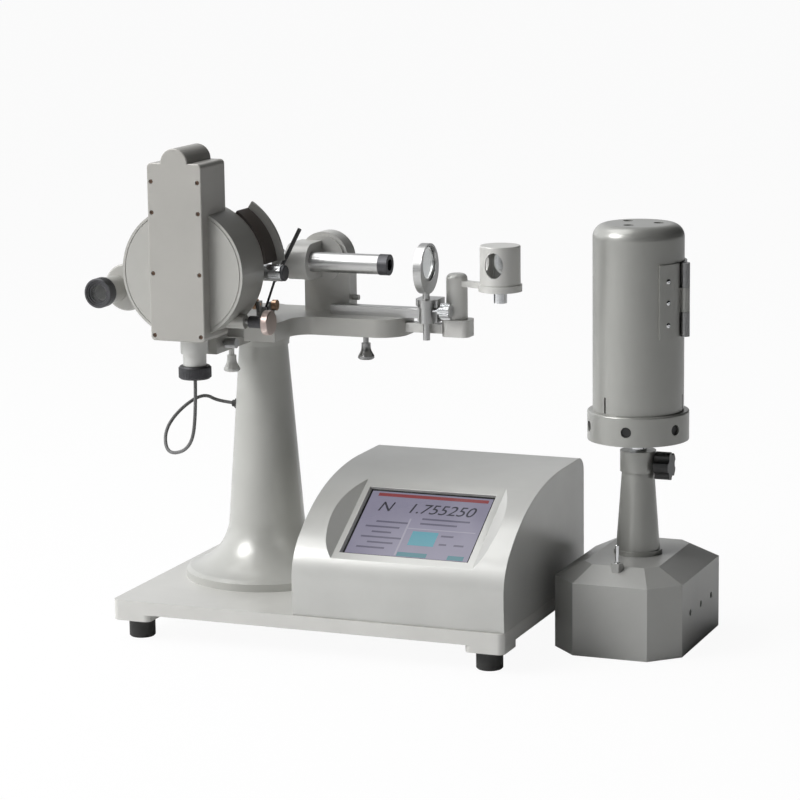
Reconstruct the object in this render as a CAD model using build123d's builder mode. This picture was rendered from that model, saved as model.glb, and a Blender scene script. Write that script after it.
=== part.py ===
"""Digital V-prism refractometer with its free-standing spectral lamp, in millimetres, +Z up.

The origin is on the bench, under the middle of the whole set.
"""
from build123d import *
import math
import os

os.makedirs("parts", exist_ok=True)

# Clearances and fits
running_play = 0.05        # radial, a shaft in its own bore
free_gap = 0.3             # between moving pieces that only pass each other
seat_play = 0.02           # radial, pressed or screwed pieces of one body

# Base tray
base_length = 380
base_depth = 252
base_x, base_y = -38, 0
tray_height = 12.5
tray_wall = 4
tray_corner = 6
corner_block = 37
corner_block_drop = 6.5
foot_radius = 12
foot_height = 18
foot_inset = 20

tray_bottom = foot_height + corner_block_drop
base_top = tray_bottom + tray_height

# Column
column_x, column_y = -134.5, 14
column_height = 220
column_top_radius = 22.7
column_low_radius = 35.4
column_flare_height = 54
column_wall = 5
flange_radius = 77
flange_rim = 8
flange_flat_radius = 73
cap_height = 4
cap_lip = 1.4
cable_height = 161         # of the cable outlet above the base
cable_hole_radius = 3.2

column_top = base_top + column_height
hub_bottom = column_top + cap_height

# Optical axis, from the lamp mirror to the V-prism, and the circle's axis that crosses it
hub_height = 13.5
arm_thickness = 16.5
axis_height = 48.5         # of the optical axis above the bench arm

arm_top = hub_bottom + hub_height + arm_thickness
optical_y = -12
optical_z = arm_top + axis_height
circle_x = -154.3

# Head casting: bench arm, hub and the beam under the drum
arm_front, arm_back = -26, 34
arm_end = 17
arm_corner = 25
lug_fillet = 18
head_left, head_front = -182, -60
lug_left, lug_right = -112, -82
lug_front = -77
hub_radius = 24.5
beam_half_width = 18
beam_bottom, beam_top = arm_top - 29, arm_top - 5
beam_front = -84

arm_bottom = arm_top - arm_thickness

# Drum with the encoder box let into its face
drum_radius = 59.1
drum_front, drum_back = -114, -68
drum_wall = 4
drum_back_wall = 9
face_wall = 4
face_groove_radius = 56.8
face_groove = 0.8
box_width = 53
box_bottom, box_top = optical_z - 60, optical_z + 99
box_front = -126
box_wall = 3
box_corner = 4
cover_depth = 11
hump_radius = 13.2
screw_side = 22.7
screw_heights = (63, 35.5, -19, -74.6)
screw_head_radius = 2.0
screw_head_height = 1.6
screw_shank_radius = 1.4
screw_length = 12
screw_post_radius = 3.6

box_back = drum_back - drum_back_wall
box_seam = box_front + cover_depth
box_z = (box_bottom + box_top) / 2
box_height = box_top - box_bottom

# Circle shaft, bearings and encoder
shaft_radius = 6
shaft_front = -106
bearing_radius = 13
bearing_width = 7
boss_radius = 16
boss_length = 15
disc_radius = 18
disc_thickness = 2
disc_front = -101
connector_x, connector_y = -148.8, -104
connector_radius = 12.5
connector_neck_radius = 10.5
connector_flange = 13.5
connector_neck = 11
connector_spigot_radius = 9.5
ring_radius = 14.9
ring_height = 12
cable_radius = 1.6

# Telescope
telescope_drop = 16.3      # degrees below the horizontal at rest
carrier_radius = 44
carrier_thickness = 8
carrier_gap = 2
elbow_reach = 103
elbow_radius = 22
elbow_half_width = 20
elbow_wall = 3
telescope_radius = 11
telescope_wall = 1.5
telescope_start = 36
cell_radius = 12.5
cell_length = 9
objective_thickness = 4
arm_half_width = 9
arm_inner, arm_outer = 30, 62
eyepiece_x, eyepiece_z = circle_x - 109.5, optical_z - 29.9
barrel_radius = 12.5
barrel_length = 24
spigot_radius = 11
spigot_length = 6
eyepiece_radius = 15.8
eyepiece_length = 12
eye_lens_radius = 8

# Shade over the prism space
shade_radius = 61.5
shade_wall = 4.5
shade_rim_radius = 68.3
shade_depth = 27
shade_rim = 3
shade_from, shade_to = 4, 57

# Circle clamp and tangent screw
clamp_y, clamp_z = -56, optical_z - 5
clamp_knob_radius = 7.6
clamp_knob_length = 23
clamp_knob_left = -102
clamp_lug_width = 6
clamp_lug_half = 6.5
screw_rod_radius = 2.5
tangent_y, tangent_z = -90, optical_z - 45
tangent_knob_radius = 11.3
tangent_knob_thickness = 7
tangent_knob_right = -78.5
sleeve_radius = 5.5
sleeve_length = 15
tangent_boss_radius = 6.5
tangent_boss_right = -104
tangent_boss_left = -126

# Bell knobs that hang under the beam and the arm, and the small stop knob
bell_radius = 7.5
bell_neck_radius = 4.2
bell_height = 15
lock_x, lock_y = -145, -34
lock_stem = 9
arm_knob_x = -25
arm_knob_stem = 8
bell_screw_depth = 8
stop_y, stop_z = -69, beam_bottom + 8.5
stop_radius = 4.6
stop_length = 11
stop_gap = 2
stop_rod_radius = 1.5

# Prism lever on the head
lever_x, lever_y = -111.1, -31.5
lever_pivot_height = 6
lever_rod_radius = 1.1
lever_grip_radius = 1.9
lever_bend = (9.6, 26)     # from the pivot to the grip's lower end
lever_tip = (35.6, 74.7)       # from the pivot to the grip's upper end
lever_screw_radius = 5
lever_screw_width = 4
bracket_half = 7.3
bracket_post = 2.5
bracket_height = 13
bracket_depth = 8

# Collimator and its bracket
tube_radius = 9.1
tube_wall = 1.3
tube_left, tube_right = -108, -5
slit_ring_length = 9
slit_ring_radius = 9.6
clamp_radius = 16.7
clamp_left, clamp_right = -93, -72
pillar_left, pillar_right = -91, -46.5
pillar_front, pillar_back = 13, 31
disc_boss_radius = 24.2
disc_boss_x = -71.5
disc_step_radius = 21
disc_step = 3
side_screw_radius = 2.5
side_screw_length = 6
side_screw_z = arm_top + 12

# Rail, slider and lens
rail_left, rail_right = -57, 43
rail_front, rail_back = -7, 5
rail_height = 8.8
slider_y = -0.5
slider_half = 6
slider_bottom, slider_top = arm_top - 13, arm_top - 4.5
slider_left = -70
end_left, end_right = 50, 76
end_front, end_back = -6, 16
end_bottom, end_top = arm_top - 16, arm_top - 0.5
end_corner = 6
holder_left, holder_right = 27.5, 49.5
holder_front, holder_back = -10, 9
holder_bottom, holder_top = arm_top - 3, arm_top + 18.5
holder_plate = 6.5
holder_plate_lip = 1.5
lens_x = 39
lens_outer_radius = 22.8
lens_outer_z = optical_z - 1.7
lens_hole_radius = 15
lens_hole_offset = 5.2
lens_ring_width = 7.5
lens_thickness = 4
lens_rim = 1.2
lens_stem_radius = 3.2
lens_stem_bottom = arm_top - 18.5
lens_boss_radius = 6.5
lens_knob_z = arm_top + 8.5
lens_knob_radius = 7.4
lens_knob_left = 53.5
lens_knob_length = 9
thumb_rod_radius = 1.5

# Mirror turret
post_x, post_y = 62, 5.5
post_radius = 9.7
post_top = arm_top + 41
pivot_radius = 3
pivot_depth = 8
turret_x, turret_y = 110, optical_y
turret_radius = 18.2
turret_wall = 2
turret_top = optical_z + 22
plate_radius = 19.6
plate_bottom, plate_top = optical_z - 19, optical_z - 13
arm_bar_width = 8
window_half_width, window_half_height = 8.5, 11.5
window_z = optical_z + 5.5
mirror_width, mirror_height, mirror_thickness = 24, 27, 2.5
thumb_radius = 6
thumb_neck_radius = 4
thumb_neck = 2.2
thumb_length = 8.5

# Console
console_width = 201
console_front, console_back = -123, 97
console_height = 115
fascia_thickness = 5
side_inset = 1.5
slope_angle = 31
chin_height = 56
slope_length = 100
top_flat_y = 42
back_radius = 14
chin_radius = 10
body_wall = 3
screen_width, screen_height = 117, 81.5
screen_inset = 93.7        # from the console's right side to the middle of the screen
screen_start = 9.5         # up the slope from the chin
margin_left, margin_right = 10, 6
margin_low, margin_high = 3, 5
panel_thickness = 4
panel_lap = 3

console_right = base_x + base_length / 2
console_left = console_right - console_width
screen_x = console_right - screen_inset

# Lamp
lamp_gap = 10.5            # between the instrument's base and the lamp's
lamp_base_width, lamp_base_depth = 119, 168
lamp_base_chamfer = 25
lamp_wall_height = 66
lamp_roof_rise = 12.5
lamp_roof_inset = 25
lamp_jack_radius = 3
lamp_jack_pitch = 33.5
lamp_jack_z = 35
lamp_base_wall = 3
foot_ring_radius, foot_ring_height = 22, 4
post_low_radius, post_high_radius = 19.9, 14.7
lamp_post_top = 154
post_collar_radius, post_collar_height = 16.3, 19
stem_radius = 7.8
stem_bottom = 100
stem_spigot_radius = 6
lamp_collar_bottom, lamp_collar_height = 184, 26.5
lamp_collar_radius = 45.8
lamp_collar_wall = 4
collar_hole_radius = 4.8
collar_hole_turn = 3.4
bulb_radius = 18
bulb_cap_radius, bulb_cap_height = 14, 24
bulb_neck_radius = 9
bulb_neck_low, bulb_neck_high = 28, 40
bulb_wide_low, bulb_wide_high = 74, 116
bulb_tip = (6, 138)
bulb_top = 140
housing_radius = 41
housing_wall = 2
housing_top = 379
housing_rounding = 12
slot_width, slot_height = 2, 14.5
slot_azimuths = (-119, 1, 121)
vent_radius, vent_circle = 4.8, 18
vent_turn = -102
leaf_from, leaf_to = -47, -16
hinge_angle = -8
hinge_distance = 45.6
knuckle_radius = 4.2
hinge_pin_radius = 1.2
door_from, door_to = -2, 46
door_bottom, door_top = 280, 346
leaf_thickness = 2
window_from, window_to = 5, 39
window_bottom, window_top = 290, 336
star_reach = 24.5          # from the lamp's axis to the star knob
star_z = 160
star_radius = 12.7
star_thickness = 14
star_neck_radius = 6
toggle_inset = 22          # from the lamp base's front edge
toggle_nut_radius = 6
toggle_nut_height = 6
toggle_length = 17
toggle_radius = 1.6
toggle_ball_radius = 3

lamp_x = console_right + lamp_gap + lamp_base_width / 2
lamp_y = 41
star_x = lamp_x + star_reach
toggle_x, toggle_y = lamp_x, lamp_y - lamp_base_depth / 2 + toggle_inset


def front_plane(y, x=0, z=0):
    """Faces the front: local x is +X, local y is +Z, extrude goes towards -Y."""
    return Plane(origin=(x, y, z), x_dir=(1, 0, 0), z_dir=(0, -1, 0))


def side_plane(x, y=0, z=0):
    """Faces right: local x is +Y, local y is +Z, extrude goes towards +X."""
    return Plane(origin=(x, y, z), x_dir=(0, 1, 0), z_dir=(1, 0, 0))


def upright_axis(x, y):
    return Axis((x, y, 0), (0, 0, 1))


def sector(inner, outer, start, end):
    """A closed ring sector about the local origin, angles in degrees, for a sketch."""
    wedge = [(0, 0)]
    for angle in (start, (start + end) / 2, end):
        turn = math.radians(angle)
        wedge.append((2 * outer * math.cos(turn), 2 * outer * math.sin(turn)))
    Circle(outer)
    Circle(inner, mode=Mode.SUBTRACT)
    Polygon(*wedge, align=None, mode=Mode.INTERSECT)


# Base tray: a shallow pan on four deeper corner blocks
with BuildPart() as base_tray:
    with BuildSketch(Plane((base_x, base_y, tray_bottom))):
        RectangleRounded(base_length, base_depth, tray_corner)
    extrude(amount=tray_height)
    with BuildSketch(Plane((base_x, base_y, tray_bottom))):
        Rectangle(base_length - 2 * tray_wall, base_depth - 2 * tray_wall)
    extrude(amount=tray_height - tray_wall, mode=Mode.SUBTRACT)
    with BuildSketch(Plane((base_x, base_y, foot_height))):
        with GridLocations(base_length - corner_block, base_depth - corner_block, 2, 2):
            RectangleRounded(corner_block, corner_block, tray_corner)
    extrude(amount=corner_block_drop + tray_height)
base_tray.part.label = "base_tray"
export_step(base_tray.part, "parts/base_tray.step")

with BuildPart() as base_feet:
    with BuildSketch(Plane((base_x, base_y, 0))):
        with GridLocations(base_length - 2 * foot_inset, base_depth - 2 * foot_inset, 2, 2):
            Circle(foot_radius)
    extrude(amount=foot_height)
    chamfer(base_feet.edges().filter_by(GeomType.CIRCLE).group_by(Axis.Z)[0], 1.2)
base_feet.part.label = "base_feet"
export_step(base_feet.part, "parts/base_feet.step")

# Column: a revolved casting whose straight taper flares into its flange, with a loose cap ring
with BuildPart() as column:
    with BuildSketch(front_plane(column_y, column_x, base_top)):
        with BuildLine():
            taper = Line((column_top_radius, column_height), (column_low_radius, column_flare_height))
            flare = TangentArc(taper @ 1, (flange_flat_radius, flange_rim + 1.5), tangent=taper % 1)
            Polyline(
                flare @ 1,
                (flange_radius, flange_rim - 1),
                (flange_radius, 0),
                (column_low_radius - column_wall, 0),
                (column_top_radius - column_wall, column_height),
                taper @ 0,
            )
        make_face()
    revolve(axis=upright_axis(column_x, column_y))
    with BuildSketch(side_plane(column_x, column_y, base_top + cable_height)):
        Circle(cable_hole_radius)
    extrude(amount=-2 * column_low_radius, mode=Mode.SUBTRACT)
    with BuildSketch(Plane((column_x, column_y, column_top))):
        Circle(column_top_radius + cap_lip)
        Circle(column_top_radius - column_wall, mode=Mode.SUBTRACT)
    extrude(amount=cap_height)
column.part.label = "column"
export_step(column.part, "parts/column.step")

# Cable grommet in the column's left side
taper_share = (column_height - cable_height) / (column_height - column_flare_height)
cable_wall_radius = column_top_radius + (column_low_radius - column_top_radius) * taper_share
grommet_x = column_x - cable_wall_radius
grommet_z = base_top + cable_height
with BuildPart() as cable_grommet:
    with BuildSketch(side_plane(grommet_x - 0.4, column_y, grommet_z)):
        Circle(cable_hole_radius - seat_play)
    extrude(amount=3.4)
    with BuildSketch(side_plane(grommet_x - 0.4, column_y, grommet_z)):
        Circle(cable_hole_radius + 1.6)
    extrude(amount=-2.2)
    with BuildSketch(side_plane(grommet_x - 2.6, column_y, grommet_z)):
        Circle(cable_hole_radius)
    extrude(amount=-3)
    with BuildSketch(side_plane(grommet_x - 10, column_y, grommet_z)):
        Circle(cable_radius + seat_play)
    extrude(amount=20, mode=Mode.SUBTRACT)
cable_grommet.part.label = "cable_grommet"
export_step(cable_grommet.part, "parts/cable_grommet.step")

# Head casting: one plate that is the bench arm, with the hub and the forward beam cast on
with BuildPart() as head_casting:
    with BuildSketch(Plane.XY.offset(arm_bottom)) as head_outline:
        with BuildLine():
            Polyline(
                (head_left, head_front),
                (lug_left, head_front),
                (lug_left, lug_front),
                (lug_right, lug_front),
                (lug_right, arm_front),
                (arm_end, arm_front),
                (arm_end, arm_back),
                (column_x - 12, arm_back),
                (head_left, 2),
                close=True,
            )
        make_face()
        fillet(head_outline.vertices().group_by(Axis.X)[-1], arm_corner)
        inner_corner = head_outline.vertices().filter_by_position(Axis.X, lug_right - 1, lug_right + 1)
        fillet(inner_corner.sort_by(Axis.Y)[-1], lug_fillet)
        with Locations((column_x, column_y)):
            Circle(hub_radius)
    extrude(amount=arm_thickness)
    with BuildSketch(Plane((column_x, column_y, hub_bottom))):
        Circle(hub_radius)
    extrude(amount=arm_bottom - hub_bottom)
    with BuildSketch(Plane((circle_x, 0, beam_bottom))):
        with Locations((0, (beam_front + column_y) / 2)):
            Rectangle(2 * beam_half_width, column_y - beam_front)
    extrude(amount=arm_bottom - beam_bottom)
    with BuildSketch(Plane((circle_x, 0, arm_bottom))):
        with Locations((0, (beam_front + drum_back) / 2)):
            Rectangle(2 * beam_half_width, drum_back - beam_front)
    extrude(amount=beam_top - arm_bottom)
    with BuildSketch(Plane((circle_x, 0, arm_bottom))):
        with Locations((0, (drum_back + head_front) / 2)):
            Rectangle(2 * beam_half_width, head_front - drum_back)
    extrude(amount=arm_thickness)
    # saddle for the drum and room for the encoder box
    with BuildSketch(front_plane(drum_back, circle_x, optical_z)):
        Circle(drum_radius + seat_play)
    extrude(amount=drum_back - beam_front + 1, mode=Mode.SUBTRACT)
    with BuildSketch(front_plane(box_back + seat_play, circle_x, box_z)):
        Rectangle(box_width + 2 * seat_play, box_height + 2 * seat_play)
    extrude(amount=box_back - beam_front + 1, mode=Mode.SUBTRACT)
    # slot of the slider bar and the screw holes from below
    with BuildSketch(Plane((0, slider_y, slider_bottom - free_gap))):
        with Locations(((slider_left + arm_end) / 2, 0)):
            Rectangle(arm_end - slider_left + 4, 2 * (slider_half + free_gap))
    extrude(amount=slider_top - slider_bottom + 2 * free_gap, mode=Mode.SUBTRACT)
    with BuildSketch(Plane((arm_knob_x, slider_y, arm_bottom))):
        Circle(screw_rod_radius + running_play)
    extrude(amount=arm_thickness / 2, mode=Mode.SUBTRACT)
    with BuildSketch(Plane((lock_x, lock_y, beam_bottom))):
        Circle(screw_rod_radius + running_play)
    extrude(amount=bell_screw_depth + 1, mode=Mode.SUBTRACT)
    with BuildSketch(side_plane(circle_x + beam_half_width, stop_y, stop_z)):
        Circle(stop_rod_radius + running_play)
    extrude(amount=-bell_screw_depth, mode=Mode.SUBTRACT)
head_casting.part.label = "head_casting"
export_step(head_casting.part, "parts/head_casting.step")

# Drum: a cup with a back wall, a bearing boss inside and the lugs of its two screws
with BuildPart() as drum_housing:
    with BuildSketch(front_plane(drum_back, circle_x, optical_z)):
        Circle(drum_radius)
    extrude(amount=drum_back - drum_front)
    with BuildSketch(front_plane(box_back, circle_x, optical_z)):
        Circle(drum_radius - drum_wall)
    extrude(amount=box_back - drum_front - face_wall, mode=Mode.SUBTRACT)
    with BuildSketch(front_plane(drum_front + face_groove, circle_x, optical_z)):
        Circle(face_groove_radius)
        Circle(face_groove_radius - face_groove, mode=Mode.SUBTRACT)
    extrude(amount=face_groove, mode=Mode.SUBTRACT)
    with BuildSketch(side_plane(tangent_boss_right, tangent_y, tangent_z)):
        Circle(tangent_boss_radius)
    extrude(amount=tangent_boss_left - tangent_boss_right)
    with BuildSketch(front_plane(box_back, circle_x, box_z)):
        Rectangle(box_width + 2 * seat_play, box_height + 2 * drum_radius)
    extrude(amount=box_back - drum_front + 1, mode=Mode.SUBTRACT)
    with BuildSketch(front_plane(drum_back, circle_x, optical_z)):
        Circle(boss_radius)
    extrude(amount=drum_back_wall + boss_length)
    with BuildSketch(side_plane(clamp_knob_left - free_gap, clamp_y, clamp_z)):
        Rectangle(2 * (clamp_y - drum_back), 2 * clamp_lug_half)
    extrude(amount=-clamp_lug_width)
    # bearing seats from both ends with a shoulder between them
    with BuildSketch(front_plane(drum_back, circle_x, optical_z)):
        Circle(bearing_radius)
    extrude(amount=bearing_width, mode=Mode.SUBTRACT)
    with BuildSketch(front_plane(box_back - boss_length + bearing_width, circle_x, optical_z)):
        Circle(bearing_radius)
    extrude(amount=bearing_width, mode=Mode.SUBTRACT)
    with BuildSketch(front_plane(drum_back, circle_x, optical_z)):
        Circle(shaft_radius + 3)
    extrude(amount=drum_back_wall + boss_length, mode=Mode.SUBTRACT)
    for screw_plane in (
        side_plane(tangent_boss_right, tangent_y, tangent_z),
        side_plane(clamp_knob_left, clamp_y, clamp_z),
    ):
        with BuildSketch(screw_plane):
            Circle(screw_rod_radius + running_play)
        extrude(amount=tangent_boss_left - tangent_boss_right, mode=Mode.SUBTRACT)
drum_housing.part.label = "drum_housing"
export_step(drum_housing.part, "parts/drum_housing.step")


def box_outline(inset, inner_corner):
    """The encoder box seen from the front: a tall plate with a half-round hump on top."""
    RectangleRounded(box_width - 2 * inset, box_height - 2 * inset, inner_corner)
    with Locations((0, box_height / 2 - inset)):
        Circle(hump_radius - inset)


# Encoder box let into the drum's face, open at the front
screw_places = [(side * screw_side, height) for side in (-1, 1) for height in screw_heights]
with BuildPart() as encoder_box:
    with BuildSketch(front_plane(box_back, circle_x, box_z)):
        box_outline(0, box_corner)
    extrude(amount=box_back - box_seam)
    with BuildSketch(front_plane(box_back - box_wall, circle_x, box_z)):
        box_outline(box_wall, box_corner / 2)
    extrude(amount=box_back - box_wall - box_seam, mode=Mode.SUBTRACT)
    with BuildSketch(front_plane(box_back, circle_x, box_z)):
        with Locations(*screw_places):
            Circle(screw_post_radius)
    extrude(amount=box_back - box_seam)
    with BuildSketch(front_plane(box_back, circle_x, optical_z)):
        Circle(boss_radius + seat_play)
    extrude(amount=box_wall, mode=Mode.SUBTRACT)
    with BuildSketch(front_plane(box_seam + screw_length, circle_x, box_z)):
        with Locations(*screw_places):
            Circle(screw_shank_radius + seat_play)
    extrude(amount=screw_length, mode=Mode.SUBTRACT)
    with BuildSketch(Plane((connector_x, connector_y, box_bottom))):
        Circle(cable_radius + 2)
    extrude(amount=box_wall, mode=Mode.SUBTRACT)
encoder_box.part.label = "encoder_box"
export_step(encoder_box.part, "parts/encoder_box.step")

with BuildPart() as encoder_cover:
    with BuildSketch(front_plane(box_seam, circle_x, box_z)):
        box_outline(0, box_corner)
    extrude(amount=cover_depth)
    chamfer(encoder_cover.faces().sort_by(Axis.Y)[0].edges(), 0.8)
    with BuildSketch(front_plane(box_seam, circle_x, box_z)):
        box_outline(box_wall, box_corner / 2)
    extrude(amount=cover_depth - box_wall, mode=Mode.SUBTRACT)
    with BuildSketch(front_plane(box_seam, circle_x, box_z)):
        with Locations(*screw_places):
            Circle(screw_post_radius)
    extrude(amount=cover_depth - box_wall)
    with BuildSketch(front_plane(box_seam, circle_x, box_z)):
        with Locations(*screw_places):
            Circle(screw_shank_radius + seat_play)
    extrude(amount=cover_depth, mode=Mode.SUBTRACT)
    with BuildSketch(front_plane(box_front + screw_head_height, circle_x, box_z)):
        with Locations(*screw_places):
            Circle(screw_head_radius + seat_play)
    extrude(amount=screw_head_height, mode=Mode.SUBTRACT)
encoder_cover.part.label = "encoder_cover"
export_step(encoder_cover.part, "parts/encoder_cover.step")

with BuildPart() as cover_screws:
    with BuildSketch(front_plane(box_front + screw_head_height, circle_x, box_z)):
        with Locations(*screw_places):
            Circle(screw_head_radius)
    extrude(amount=screw_head_height)
    with BuildSketch(front_plane(box_seam + screw_length - 1, circle_x, box_z)):
        with Locations(*screw_places):
            Circle(screw_shank_radius)
    extrude(amount=screw_length - 1 + cover_depth - screw_head_height)
cover_screws.part.label = "cover_screws"
export_step(cover_screws.part, "parts/cover_screws.step")

# Circle shaft in two bearings, with the encoder disc on its front end
carrier_front = drum_back + carrier_gap
carrier_back = carrier_front + carrier_thickness
with BuildPart() as main_shaft:
    with BuildSketch(front_plane(carrier_back, circle_x, optical_z)):
        Circle(shaft_radius)
    extrude(amount=carrier_back - shaft_front)
    with BuildSketch(front_plane(disc_front + disc_thickness + 4, circle_x, optical_z)):
        Circle(shaft_radius + 3)
    extrude(amount=4)
main_shaft.part.label = "main_shaft"
export_step(main_shaft.part, "parts/main_shaft.step")

with BuildPart() as shaft_bearings:
    for bearing_back in (drum_back, box_back - boss_length + bearing_width):
        with BuildSketch(front_plane(bearing_back, circle_x, optical_z)):
            Circle(bearing_radius - seat_play)
            Circle(shaft_radius + running_play, mode=Mode.SUBTRACT)
        extrude(amount=bearing_width)
shaft_bearings.part.label = "shaft_bearings"
export_step(shaft_bearings.part, "parts/shaft_bearings.step")

with BuildPart() as encoder_disc:
    with BuildSketch(front_plane(disc_front + disc_thickness, circle_x, optical_z)):
        Circle(disc_radius)
        Circle(shaft_radius + seat_play, mode=Mode.SUBTRACT)
    extrude(amount=disc_thickness)
encoder_disc.part.label = "encoder_disc"
export_step(encoder_disc.part, "parts/encoder_disc.step")

with BuildPart() as read_head:
    with BuildSketch(side_plane(circle_x, 0, optical_z)):
        with BuildLine():
            slot_y = disc_front + disc_thickness / 2
            Polyline(
                (box_back - box_wall, disc_radius + 2),
                (box_back - box_wall, disc_radius + 16),
                (slot_y - 5, disc_radius + 16),
                (slot_y - 5, disc_radius - 6),
                (slot_y - 2, disc_radius - 6),
                (slot_y - 2, disc_radius + 2),
                (slot_y + 2, disc_radius + 2),
                (slot_y + 2, disc_radius - 6),
                (slot_y + 5, disc_radius - 6),
                (slot_y + 5, disc_radius + 2),
                close=True,
            )
        make_face()
    extrude(amount=7, both=True)
read_head.part.label = "read_head"
export_step(read_head.part, "parts/read_head.step")

# Connector under the encoder box and its knurled coupling ring
connector_flange_bottom = box_bottom - connector_flange
ring_top = connector_flange_bottom - connector_neck
spigot_bottom = ring_top - ring_height + 3
with BuildPart() as connector_body:
    with BuildSketch(Plane((connector_x, connector_y, connector_flange_bottom))):
        Circle(connector_radius)
    extrude(amount=connector_flange)
    with BuildSketch(Plane((connector_x, connector_y, ring_top))):
        Circle(connector_neck_radius)
    extrude(amount=connector_neck)
    with BuildSketch(Plane((connector_x, connector_y, spigot_bottom))):
        Circle(connector_spigot_radius)
    extrude(amount=ring_top - spigot_bottom)
    with BuildSketch(Plane((connector_x, connector_y, spigot_bottom))):
        Circle(cable_radius + seat_play)
    extrude(amount=box_bottom - spigot_bottom, mode=Mode.SUBTRACT)
connector_body.part.label = "connector_body"
export_step(connector_body.part, "parts/connector_body.step")

with BuildPart() as connector_ring:
    with BuildSketch(Plane((connector_x, connector_y, ring_top - ring_height))):
        RegularPolygon(ring_radius, 32)
    extrude(amount=ring_height - free_gap)
    with BuildSketch(Plane((connector_x, connector_y, spigot_bottom - free_gap))):
        Circle(connector_spigot_radius + running_play)
    extrude(amount=ring_height, mode=Mode.SUBTRACT)
    with BuildSketch(Plane((connector_x, connector_y, ring_top - ring_height))):
        Circle(cable_radius + 1.5)
    extrude(amount=ring_height, mode=Mode.SUBTRACT)
connector_ring.part.label = "connector_ring"
export_step(connector_ring.part, "parts/connector_ring.step")

# Signal cable from the connector, down through one free loop, to the grommet in the column
cable_points = [
    (connector_x, connector_y, spigot_bottom + 6),
    (connector_x, connector_y, grommet_z + 10),
    (-165, -84, 173),
    (-197, -67, 162),
    (-208, -51, 180),
    (-201, -34, 198),
    (-187, -9, 211),
    (grommet_x - 19, column_y, grommet_z),
    (grommet_x + 12, column_y, grommet_z),
]
cable_radii = []
for before, corner, after in zip(cable_points, cable_points[1:], cable_points[2:]):
    run_in = Vector(*corner) - Vector(*before)
    run_out = Vector(*after) - Vector(*corner)
    half_turn = math.radians(run_in.get_angle(run_out)) / 2
    cable_radii.append(0.45 * min(run_in.length, run_out.length) / math.tan(half_turn))
print("cable radii", [round(r, 1) for r in cable_radii])
with BuildPart() as signal_cable:
    with BuildLine() as cable_route:
        FilletPolyline(*cable_points, radius=cable_radii)
    with BuildSketch(Plane(origin=cable_points[0], z_dir=(0, 0, -1))):
        Circle(cable_radius)
    sweep()
print("cable length", round(sum(edge.length for edge in cable_route.edges()), 1))
signal_cable.part.label = "signal_cable"
export_step(signal_cable.part, "parts/signal_cable.step")

# Shade: a curved wall on the drum's back with a wider rim
with BuildPart() as prism_shade:
    with BuildSketch(front_plane(drum_back + shade_depth, circle_x, optical_z)):
        sector(shade_radius - shade_wall, shade_radius, shade_from, shade_to)
    extrude(amount=shade_depth)
    with BuildSketch(front_plane(drum_back + shade_depth, circle_x, optical_z)):
        sector(shade_radius - shade_wall, shade_rim_radius, shade_from, shade_to)
    extrude(amount=shade_rim)
prism_shade.part.label = "prism_shade"
export_step(prism_shade.part, "parts/prism_shade.step")

# Circle clamp: a knurled knob whose screw reaches through the drum's rear lug
clamp_tip = circle_x + carrier_radius + 0.6
with BuildPart() as circle_clamp_knob:
    with BuildSketch(side_plane(clamp_knob_left, clamp_y, clamp_z)):
        RegularPolygon(clamp_knob_radius, 28)
    extrude(amount=clamp_knob_length)
    with BuildSketch(side_plane(clamp_knob_left + 0.35 * clamp_knob_length, clamp_y, clamp_z)):
        Circle(clamp_knob_radius + 1)
        Circle(clamp_knob_radius - 1.2, mode=Mode.SUBTRACT)
    extrude(amount=3, mode=Mode.SUBTRACT)
    with BuildSketch(side_plane(clamp_tip, clamp_y, clamp_z)):
        Circle(screw_rod_radius)
    extrude(amount=clamp_knob_left - clamp_tip)
circle_clamp_knob.part.label = "circle_clamp_knob"
export_step(circle_clamp_knob.part, "parts/circle_clamp_knob.step")

# Telescope, built along its own line of sight: local x runs out from the circle's axis
drop = math.radians(telescope_drop)
sight = Plane(
    origin=(circle_x, optical_y, optical_z),
    x_dir=(-math.cos(drop), 0, -math.sin(drop)),
    z_dir=(0, -1, 0),
)
sight_axis = Axis((circle_x, optical_y, optical_z), (-math.cos(drop), 0, -math.sin(drop)))
tube_end = elbow_reach - elbow_radius + 6

with BuildPart() as telescope_carrier:
    with BuildSketch(front_plane(carrier_back, circle_x, optical_z)):
        Circle(carrier_radius)
        Circle(shaft_radius + seat_play, mode=Mode.SUBTRACT)
    extrude(amount=carrier_thickness)
    arm_depth = optical_y - carrier_back
    with BuildSketch(sight.offset(-carrier_back + optical_y)):
        with Locations(((arm_inner + arm_outer) / 2, 0)):
            Rectangle(arm_outer - arm_inner, 2 * arm_half_width)
    extrude(amount=-arm_depth)
    with BuildSketch(sight.offset(-carrier_back + optical_y)):
        with Locations(((arm_inner + carrier_radius - 8) / 2, 0)):
            Rectangle(carrier_radius - 8 - arm_inner + 16, 2 * arm_half_width)
    extrude(amount=3)
    with BuildSketch(Plane(sight.origin, x_dir=(0, 1, 0), z_dir=sight.x_dir).offset(cell_length + telescope_start + 1)):
        Circle(telescope_radius + 3)
    extrude(amount=arm_outer - cell_length - telescope_start - 1)
    with BuildSketch(Plane(sight.origin, x_dir=(0, 1, 0), z_dir=sight.x_dir).offset(arm_inner - 5)):
        Circle(telescope_radius + seat_play)
    extrude(amount=arm_outer, mode=Mode.SUBTRACT)
    with BuildSketch(Plane(sight.origin, x_dir=(0, 1, 0), z_dir=sight.x_dir).offset(arm_inner - 5)):
        Circle(cell_radius + free_gap)
    extrude(amount=telescope_start + cell_length + 6 - arm_inner, mode=Mode.SUBTRACT)
telescope_carrier.part.label = "telescope_carrier"
export_step(telescope_carrier.part, "parts/telescope_carrier.step")

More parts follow.
